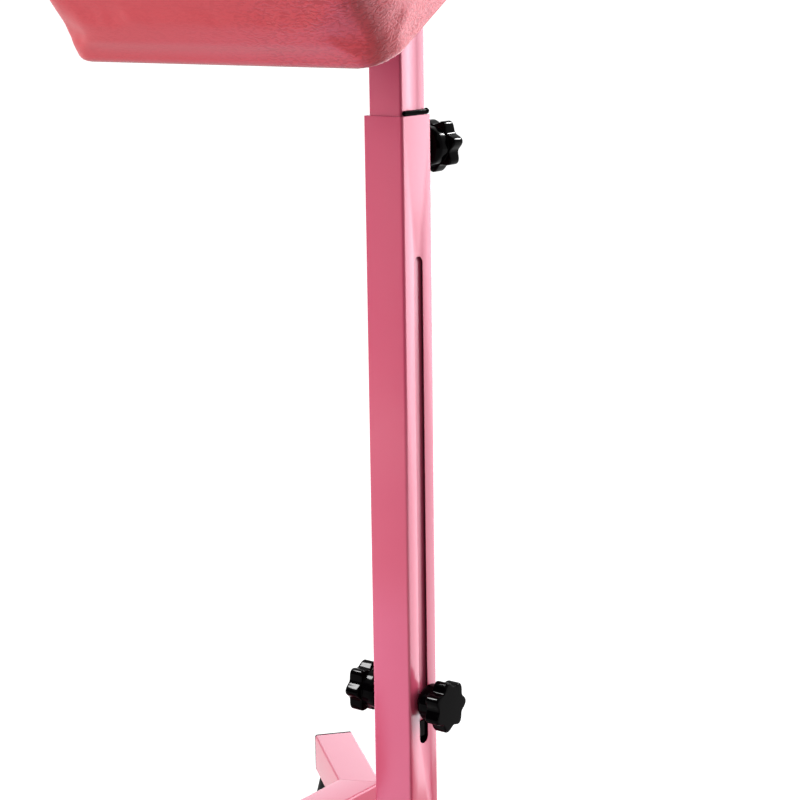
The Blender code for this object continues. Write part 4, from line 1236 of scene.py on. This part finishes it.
@dataclass
class PadHead:
    """Tilt bracket and its bolt, and the upholstered pad with its screws, dust cloth and staples."""
    shop: Workshop
    ear_drop: float = 23.0 * MM
    ear_radius: float = 13.0 * MM
    ear_half: float = 24.0 * MM
    plate: float = 2.5 * MM
    plate_half: Point = (39.0 * MM, 56.0 * MM)
    screws_at: Point = (29.0 * MM, 46.0 * MM)
    width: float = 234.5 * MM
    depth: float = 352.0 * MM
    side: float = 58.0 * MM
    crown: float = 8.0 * MM
    flare: float = 2.0 * MM
    corner: float = 20.0 * MM
    margin: float = 6.0 * MM            # from the cushion's edge to the board's

    def __post_init__(self) -> None:
        """Work out the levels and places in the pad's own frame."""
        self.floor = self.ear_drop + self.plate + SEAT
        self.half_x, self.half_y = self.width / 2, self.depth / 2
        self.screw_spots = [(name, sx * self.screws_at[0], sy * self.screws_at[1])
                            for name, sx, sy in Base.corners()]

    def build_bracket(self) -> None:
        """Folded and welded bracket: a plate with two tapering ears."""
        low, high = self.ear_drop, self.ear_drop + self.plate
        plate = slab("pad_bracket", *self.plate_half, low, high)
        with editing(plate):
            bevel_uprights(plate, 8 * MM, 8)
        for sx in (-1, 1):
            ear = drum("ear", self.ear_radius, EAR_INSIDE, EAR_FACE, 56)
            move(ear, along((sx, 0, 0)))
            low_x, high_x = sorted((sx * EAR_INSIDE, sx * EAR_FACE))
            root = block("root", (low_x, -self.ear_half, low - 0.5 * MM),
                         (high_x, self.ear_half, low + 1.2 * MM))
            ear = join("ear", [ear, root])
            with editing(ear, 'VERT', selected=True):
                bpy.ops.mesh.convex_hull()
            carve(plate, ear, operation='UNION')
        square = block("square", (-20 * MM, -BORE, -BORE), (-12 * MM, BORE, BORE))
        bore = move(drum("bore", BORE, 12 * MM, 20 * MM), along(X_AXIS))
        holes = [move(drum("hole", 3.2 * MM, low - RUNOUT, high + RUNOUT), Matrix.Translation((x, y, 0)))
                 for _, x, y in self.screw_spots]
        carve(plate, square, bore, *holes)
        round_edges(plate, 0.35 * MM, 2, 40)
        move(plate, PAD_FRAME)
        shade(plate, 40)
        self.shop.fit(plate, Finish.PAINT, "pad_head", "tilt_bracket")
        beads = [bead("ear_bead", [Vector((x, -22 * MM, low)), Vector((x, 22 * MM, low))], 1.4 * MM)
                 for x in (-17.5 * MM, 17.5 * MM)]
        welds = move(join("bracket_weld_beads", beads), PAD_FRAME)
        self.shop.fit(welds, Finish.PAINT, "pad_head")

    def build_bolt(self) -> None:
        """Carriage bolt with a domed head and a square neck."""
        head = -EAR_FACE - SEAT
        tip = EAR_FACE + SEAT + WASHER + SEAT + 11.2 * MM
        dome = arc((0.0, head + 7.4 * MM), 11.6 * MM, -90, -39, 8)
        bolt = spun("carriage_bolt", dome + [(9 * MM, head), (BOLT, head), (BOLT, tip - 0.6 * MM),
                                             (3.3 * MM, tip), (0.0, tip)])
        carve(bolt, slab("neck", BOLT, BOLT, head - 0.2 * MM, -EAR_INSIDE), operation='UNION')
        move(bolt, PAD_FRAME @ along(X_AXIS))
        shade(bolt)
        self.shop.fit(bolt, Finish.ZINC, "pad_head", "tilt_bolt")

    def build_screws(self) -> None:
        """Pan-headed cross-recessed screws up through the plate."""
        face = self.ear_drop - SEAT
        tip, low, high = face + 12.5 * MM, face - 4 * MM, face - 1.2 * MM
        dome = arc((0.0, face + 5.2 * MM), 8.6 * MM, -90, -48, 6)
        screw = spun("pan_screw", dome + [(5.8 * MM, face), (2.8 * MM, face), (2.8 * MM, tip - 0.6 * MM),
                                          (2.2 * MM, tip), (0.0, tip)], 40)
        carve(screw, slab("slot", 3.0 * MM, 0.6 * MM, low, high), slab("slot", 0.6 * MM, 3.0 * MM, low, high))
        shade(screw)
        for name, x, y in self.screw_spots:
            piece = twin(screw, name + "_pan_screw", PAD_FRAME @ Matrix.Translation((x, y, 0)))
            self.shop.fit(piece, Finish.ZINC, "pad_head", name + "_pad_screw")
        discard(screw)

    def cushion_blank(self) -> bpy.types.Object:
        """Foam block with rounded corners that leans out above its foot, remeshed evenly and crowned.

        Returns:
            The block, in the pad's own frame.
        """
        half_x, half_y = self.half_x, self.half_y
        top = self.floor + self.side
        pad = slab("leatherette_cushion", half_x, half_y, self.floor, top)
        with editing(pad):
            bevel_uprights(pad, self.corner, 8)
            pick(pad, "edges", lambda edge: min(v.co.z for v in edge.verts) > top - MM)
            bpy.ops.mesh.bevel(offset=13 * MM, segments=5, affect='EDGES')
            pick(pad, "edges", lambda edge: max(v.co.z for v in edge.verts) < self.floor + MM)
            bpy.ops.mesh.bevel(offset=3.2 * MM, segments=4, affect='EDGES')
        self.crisp = twin(pad, "crisp_form", Matrix.Identity(4))
        modify(pad, 'REMESH', mode='VOXEL', voxel_size=3.6 * MM, use_smooth_shade=True)
        for vertex in pad.data.vertices:
            rise = vertex.co.z - self.floor
            lean = self.flare * unit(rise / (44 * MM))
            vertex.co.x *= 1 + lean / half_x
            vertex.co.y *= 1 + lean / half_y
            across = max(0.0, 1 - abs(vertex.co.x / half_x) ** 2.4)
            down = max(0.0, 1 - abs(vertex.co.y / half_y) ** 4.0)
            vertex.co.z += self.crown * unit(rise / self.side) ** 3 * math.sqrt(across * down)
        return pad

    def hold_foot(self, pad: bpy.types.Object, group: str, height: float) -> None:
        """Weigh the vertices near the foot: full up to half a height, nothing above one and a half.

        Args:
            pad: the cushion, in the pad's own frame.
            group: name of the vertex group.
            height: the height over which the weight fades.
        """
        weights = pad.vertex_groups.new(name=group)
        for vertex in pad.data.vertices:
            weights.add([vertex.index], unit(1.5 - (vertex.co.z - self.floor) / height), 'REPLACE')

    def inflate(self, pad: bpy.types.Object) -> None:
        """Press the cover out from inside by a short cloth simulation, held along the underside.

        Args:
            pad: the remeshed blank, in the pad's own frame.
        """
        before = [vertex.co.copy() for vertex in pad.data.vertices]
        self.hold_foot(pad, "held", 9 * MM)
        focus(pad)
        cloth = pad.modifiers.new("cloth", 'CLOTH')
        cloth.settings.quality = 5
        cloth.settings.mass = 0.3
        cloth.settings.tension_stiffness = cloth.settings.compression_stiffness = 18
        cloth.settings.bending_stiffness = 2.0
        cloth.settings.use_pressure = True
        cloth.settings.uniform_pressure_force = 4.0
        cloth.settings.vertex_group_mass = "held"
        cloth.settings.effector_weights.gravity = 0.0
        cloth.point_cache.frame_start, cloth.point_cache.frame_end = 1, 20
        for step in range(1, 21):
            bpy.context.scene.frame_set(step)
        bpy.ops.object.modifier_apply(modifier=cloth.name)
        bpy.context.scene.frame_set(1)
        cap = 1.5 * MM
        for vertex, start in zip(pad.data.vertices, before):
            shift = vertex.co - start
            if shift.length > cap:
                vertex.co = start + shift * (cap / shift.length)

    def draw_foot(self, pad: bpy.types.Object) -> None:
        """Draw the foot of the cover onto its crisp form, where the board's edge backs it.

        Args:
            pad: the inflated cushion, in the pad's own frame.
        """
        self.hold_foot(pad, "drawn", 11 * MM)
        modify(pad, 'SHRINKWRAP', target=self.crisp, wrap_method='NEAREST_SURFACEPOINT', vertex_group="drawn")
        discard(self.crisp)

    def pucker(self, pad: bpy.types.Object) -> None:
        """Dimple the cover beside its lower corners and gather it in small folds round them.

        Args:
            pad: the inflated cushion, in the pad's own frame.
        """
        dimple = Vector((self.half_x - 14 * MM, self.half_y - MM, self.floor + 22 * MM))
        normals = [vertex.normal.copy() for vertex in pad.data.vertices]
        for vertex, normal in zip(pad.data.vertices, normals):
            x, y, z = vertex.co
            rise = z - self.floor
            spot = Vector((abs(x), abs(y), z)) - dimple
            spot.x *= 0.6
            hollow = math.exp(-(spot.length / (11 * MM)) ** 2)
            away = Vector((abs(x) - self.half_x, abs(y) - self.half_y, rise))
            near = max(0.0, 1 - away.length / (44 * MM))
            clear = unit((rise - 7 * MM) / (8 * MM))
            angle = math.atan2(rise, math.hypot(away.x, away.y))
            fold = math.sin(angle * 17 + 2.2 * noise.noise(vertex.co / (16 * MM)))
            vertex.co += normal * (fold * near * 0.25 * MM - hollow * 2.0 * MM) * clear

    def build_cushion(self) -> None:
        """Foam and cover: simulated, puckered, and recessed below for the board."""
        pad = self.cushion_blank()
        self.inflate(pad)
        modify(pad, 'SUBSURF', levels=1, render_levels=1)
        self.draw_foot(pad)
        self.pucker(pad)
        board = slab("board", self.half_x - self.margin, self.half_y - self.margin, self.floor - RUNOUT,
                     self.floor + 13.4 * MM)
        with editing(board):
            bevel_uprights(board, self.corner - self.margin, 5)
        carve(pad, board)
        move(pad, PAD_FRAME)
        shade(pad, 60)
        self.shop.fit(pad, Finish.LEATHER, "pad_head", "pad_cushion")

    def build_dust_cloth(self) -> None:
        """Dust cloth pulled flat under the board and over the bracket's plate."""
        half_x, half_y = self.half_x - self.margin - SEAT, self.half_y - self.margin - SEAT
        plate_x, plate_y = (half + 2 * MM for half in self.plate_half)
        bpy.ops.mesh.primitive_plane_add(size=1.0)
        cloth = named("stapled_dust_cloth")
        cloth.scale = (2 * half_x, 2 * half_y, 1)
        settle(cloth)
        with editing(cloth, 'VERT', selected=True):
            bpy.ops.mesh.bevel(offset=self.corner - self.margin, segments=5, affect='VERTICES')
        with editing(cloth, selected=True):
            bpy.ops.mesh.inset(thickness=9 * MM)
            bpy.ops.mesh.poke()
            for _ in range(4):
                bpy.ops.mesh.select_all(action='SELECT')
                bpy.ops.mesh.subdivide(number_cuts=1)
        for vertex in cloth.data.vertices:
            x, y, _ = vertex.co
            slack = unit(min(half_x - abs(x), half_y - abs(y)) / (20 * MM))
            free = unit(max(abs(x) - plate_x, abs(y) - plate_y) / (20 * MM))
            wave = 0.6 + 0.6 * noise.noise(Vector((x, y, 0)) / (42 * MM))
            vertex.co.z = self.floor + 0.8 * MM - 0.9 * MM * slack * free * wave
        modify(cloth, 'SOLIDIFY', thickness=0.5 * MM, offset=-1.0)
        move(cloth, PAD_FRAME)
        shade(cloth, 60)
        self.shop.fit(cloth, Finish.CLOTH, "pad_head", "dust_cloth")
        self.build_staples(half_x - 5 * MM, half_y - 5 * MM)

    def build_staples(self, line_x: float, line_y: float) -> None:
        """Staples round the dust cloth's edge, five along each short side and seven along each long one.

        Args:
            line_x: distance of the long rows from the middle.
            line_y: distance of the short rows from the middle.
        """
        staple = slab("staple", 5 * MM, 0.35 * MM, -0.25 * MM, 0.25 * MM)
        round_edges(staple, 0.2 * MM, 2)
        level = self.floor + 0.1 * MM
        across = Matrix.Rotation(math.pi / 2, 4, 'Z')
        copies = []
        for sign in (-1, 1):
            short = [Matrix.Translation((line_x * (i - 2) / 2.5, sign * line_y, level)) for i in range(5)]
            long = [Matrix.Translation((sign * line_x, line_y * (i - 3) / 3.5, level)) @ across
                    for i in range(7)]
            copies += [twin(staple, "staple", place) for place in short + long]
        discard(staple)
        staples = move(join("cloth_staples", copies), PAD_FRAME)
        shade(staples)
        self.shop.fit(staples, Finish.ZINC, "pad_head")

    def build(self) -> None:
        """Build the bracket, its bolt and the pad."""
        self.build_bracket()
        self.build_bolt()
        self.build_screws()
        self.build_cushion()
        self.build_dust_cloth()


class Reach(Enum):
    """What a lamp reaches: matt surfaces, the gloss of all but the black plastic, or its gloss alone."""
    MATT = "matt"
    GLOSS = "EXCLUDE"
    PLASTIC = "INCLUDE"


@dataclass(frozen=True)
class Lamp:
    """Square soft lamp: its name, what it reaches, its place and aim, side, power, colour and turn."""
    name: str
    reach: Reach
    place: Vector
    aim: Vector
    size: float
    watts: float
    colour: tuple[float, float, float] = (1.0, 1.0, 1.0)
    turn: float = 0.0


@dataclass
class Studio:
    """White floor and surroundings, soft lamps and the camera.

    The wide glows that veil the enamel are kept off the black plastic, which has lamps of its own.
    """
    plastic: bpy.types.Material
    azimuth: float = -52.95
    pitch: float = 12.23
    roll: float = -0.82
    lens: float = 92.03
    eye: tuple[float, float, float] = (0.7625, -1.0111, 0.6493)
    mirrored: float = 53.0              # bearing that the post's right face mirrors; its front the opposite
    ambient: float = 0.48
    albedo: float = 0.35
    floor_white: float = 0.95
    card_distance: float = 3.3
    card_half: float = 2.45
    card_height: float = 2.4

    def build_camera(self) -> None:
        """Camera at the photograph's place and angle."""
        a, p, r = (math.radians(value) for value in (self.azimuth, self.pitch, self.roll))
        ahead = Vector((-math.cos(a) * math.cos(p), -math.sin(a) * math.cos(p), -math.sin(p)))
        right = ahead.cross(Z_AXIS).normalized()
        up = right.cross(ahead)
        across = math.cos(r) * right + math.sin(r) * up
        rise = -math.sin(r) * right + math.cos(r) * up
        data = bpy.data.cameras.new("camera")
        data.lens, data.sensor_width, data.clip_end = self.lens, 36.0, 200.0
        camera = bpy.data.objects.new("camera", data)
        bpy.context.collection.objects.link(camera)
        turned = Matrix((across, rise, -ahead)).transposed().to_4x4()
        camera.matrix_world = Matrix.Translation(self.eye) @ turned
        bpy.context.scene.camera = camera

    def seen(self, tree: bpy.types.NodeTree) -> bpy.types.Node:
        """One for rays that show the surroundings: camera, glossy and transmission.

        Args:
            tree: node tree to add to.

        Returns:
            The node that tells.
        """
        path = add_node(tree, "LightPath").outputs
        rays = add_node(tree, "Math", {0: path["Is Camera Ray"], 1: path["Is Glossy Ray"]},
                        operation='MAXIMUM')
        return add_node(tree, "Math", {0: rays, 1: path["Is Transmission Ray"]}, operation='MAXIMUM')

    def build_world(self) -> None:
        """White surroundings for the eye and an even, weaker light for surfaces."""
        world = bpy.data.worlds.new("studio")
        bpy.context.scene.world = world
        world.use_nodes = True
        tree = world.node_tree
        strength = add_node(tree, "MapRange", {"Value": self.seen(tree), "To Min": self.ambient,
                                               "To Max": 1.0})
        background = tree.nodes["Background"]
        background.inputs["Color"].default_value = (1, 1, 1, 1)
        tree.links.new(output(strength), background.inputs["Strength"])

    def build_floor(self) -> None:
        """Floor that looks white and keeps the stand's shadow."""
        bpy.ops.mesh.primitive_circle_add(vertices=64, radius=60.0, fill_type='NGON')
        floor = named("studio_floor")
        material = bpy.data.materials.new("studio_white")
        material.use_nodes = True
        tree = material.node_tree
        tree.nodes.remove(tree.nodes["Principled BSDF"])
        matt = add_node(tree, "BsdfDiffuse", {"Color": (self.albedo, self.albedo, self.albedo, 1)})
        light = add_node(tree, "Emission", {"Color": (1, 1, 1, 1), "Strength": self.floor_white})
        both = add_node(tree, "AddShader", {0: matt, 1: light})
        chosen = add_node(tree, "MixShader", {0: self.seen(tree), 1: matt, 2: both})
        tree.links.new(output(chosen), tree.nodes["Material Output"].inputs["Surface"])
        floor.data.materials.append(material)

    def build_cards(self) -> None:
        """Dark cards in front of the stand that show in its enamel and plastic alone."""
        material = bpy.data.materials.new("studio_black")
        material.use_nodes = True
        shader = material.node_tree.nodes["Principled BSDF"]
        shader.inputs["Base Color"].default_value = (0, 0, 0, 1)
        shader.inputs["Specular IOR Level"].default_value = 0.0
        for bearing in (self.mirrored - 180, self.azimuth):
            card = block("studio_card", (-self.card_half, 0, 0), (self.card_half, 2 * MM, self.card_height))
            turn = Matrix.Rotation(math.radians(bearing - 90), 4, 'Z')
            move(card, Matrix.Translation(self.ground(bearing, self.card_distance)) @ turn)
            card.data.materials.append(material)
            card.visible_camera = card.visible_diffuse = False
            card.visible_shadow = card.visible_transmission = False

    @staticmethod
    def ground(bearing: float, distance: float) -> Vector:
        """Place just above the floor at a bearing from +X, in degrees, and a distance from the post."""
        turn = math.radians(bearing)
        return Vector((math.cos(turn) * distance, math.sin(turn) * distance, 2 * MM))

    @staticmethod
    def stand(bearing: float, height: float, distance: float) -> Vector:
        """Place seen from the stand's middle.

        Args:
            bearing: angle from +X, in degrees.
            height: angle above the level, in degrees.
            distance: distance from the middle.

        Returns:
            The place.
        """
        turn, rise = math.radians(bearing), math.radians(height)
        way = Vector((math.cos(turn) * math.cos(rise), math.sin(turn) * math.cos(rise), math.sin(rise)))
        return MIDDLE + way * distance

    def hang(self, lamp: Lamp) -> None:
        """Hang a lamp and limit what it reaches.

        Args:
            lamp: the lamp.
        """
        data = bpy.data.lights.new(lamp.name, 'AREA')
        data.energy, data.size, data.color = lamp.watts, lamp.size, lamp.colour
        light = bpy.data.objects.new(lamp.name, data)
        bpy.context.collection.objects.link(light)
        light.matrix_world = along(lamp.place - lamp.aim, lamp.place, lamp.turn)
        light.visible_camera = False
        light.visible_diffuse = lamp.reach is Reach.MATT
        light.visible_glossy = lamp.reach is not Reach.MATT
        if lamp.reach is Reach.MATT:
            return
        linked = bpy.data.collections.new(lamp.name + "_reach")
        for obj in bpy.data.objects:
            if obj.type == 'MESH' and self.plastic.name in obj.data.materials:
                linked.objects.link(obj)
        for entry in linked.collection_objects:
            entry.light_linking.link_state = lamp.reach.value
        light.light_linking.receiver_collection = linked

    def build(self) -> None:
        """Set the whole studio up."""
        self.build_camera()
        self.build_world()
        self.build_floor()
        self.build_cards()
        cool, lilac = (0.87, 0.91, 1.0), (0.85, 0.55, 1.0)
        near, far = self.ground(self.mirrored, 1.34), self.ground(self.mirrored, 2.42)
        front, wall = self.ground(self.mirrored - 180, 0.36), Z_AXIS * 1.2
        side, rear = self.stand(-160.6, 51.3, 1.5), self.stand(75.0, 36.0, 1.5)
        for lamp in (
            Lamp("rear_right", Reach.MATT, self.stand(55.0, 12.0, 2.2), MIDDLE, 1.3, 47.0),
            Lamp("front_left", Reach.MATT, self.stand(-128.0, 6.0, 2.4), MIDDLE, 1.3, 42.0),
            Lamp("floor_glow", Reach.GLOSS, near, near + Z_AXIS, 2.2, 42.0, cool, -self.mirrored),
            Lamp("wall_glow", Reach.GLOSS, far + wall, wall, 2.4, 106.0, cool),
            Lamp("rear_glow", Reach.GLOSS, self.stand(127.0, 8.0, 3.0), MIDDLE, 3.0, 63.0, cool),
            Lamp("front_glow", Reach.GLOSS, front, front + Z_AXIS, 0.55, 1.6, lilac, -self.mirrored),
            Lamp("side_kicker", Reach.PLASTIC, side, MIDDLE, 0.5, 125.0),
            Lamp("rear_kicker", Reach.PLASTIC, rear, MIDDLE, 0.26, 34.0),
        ):
            self.hang(lamp)
        bpy.context.scene.view_settings.view_transform = 'Standard'


def main() -> None:
    """Dress the frame, build every sub-assembly and set the studio up."""
    logging.basicConfig(level=logging.INFO, format="%(name)s: %(message)s")
    finishes = FinishLibrary((PadHead.width / 2, PadHead.depth / 2))
    finishes.dress_frame()
    shop = Workshop(finishes)
    for assembly in (Base(shop), OuterPost(shop), InnerPost(shop), StarKnobs(shop), PadHead(shop)):
        assembly.build()
        LOG.info("%s finished", type(assembly).__name__)
    Studio(finishes.materials[Finish.PLASTIC]).build()


if __name__ == "__main__":
    main()
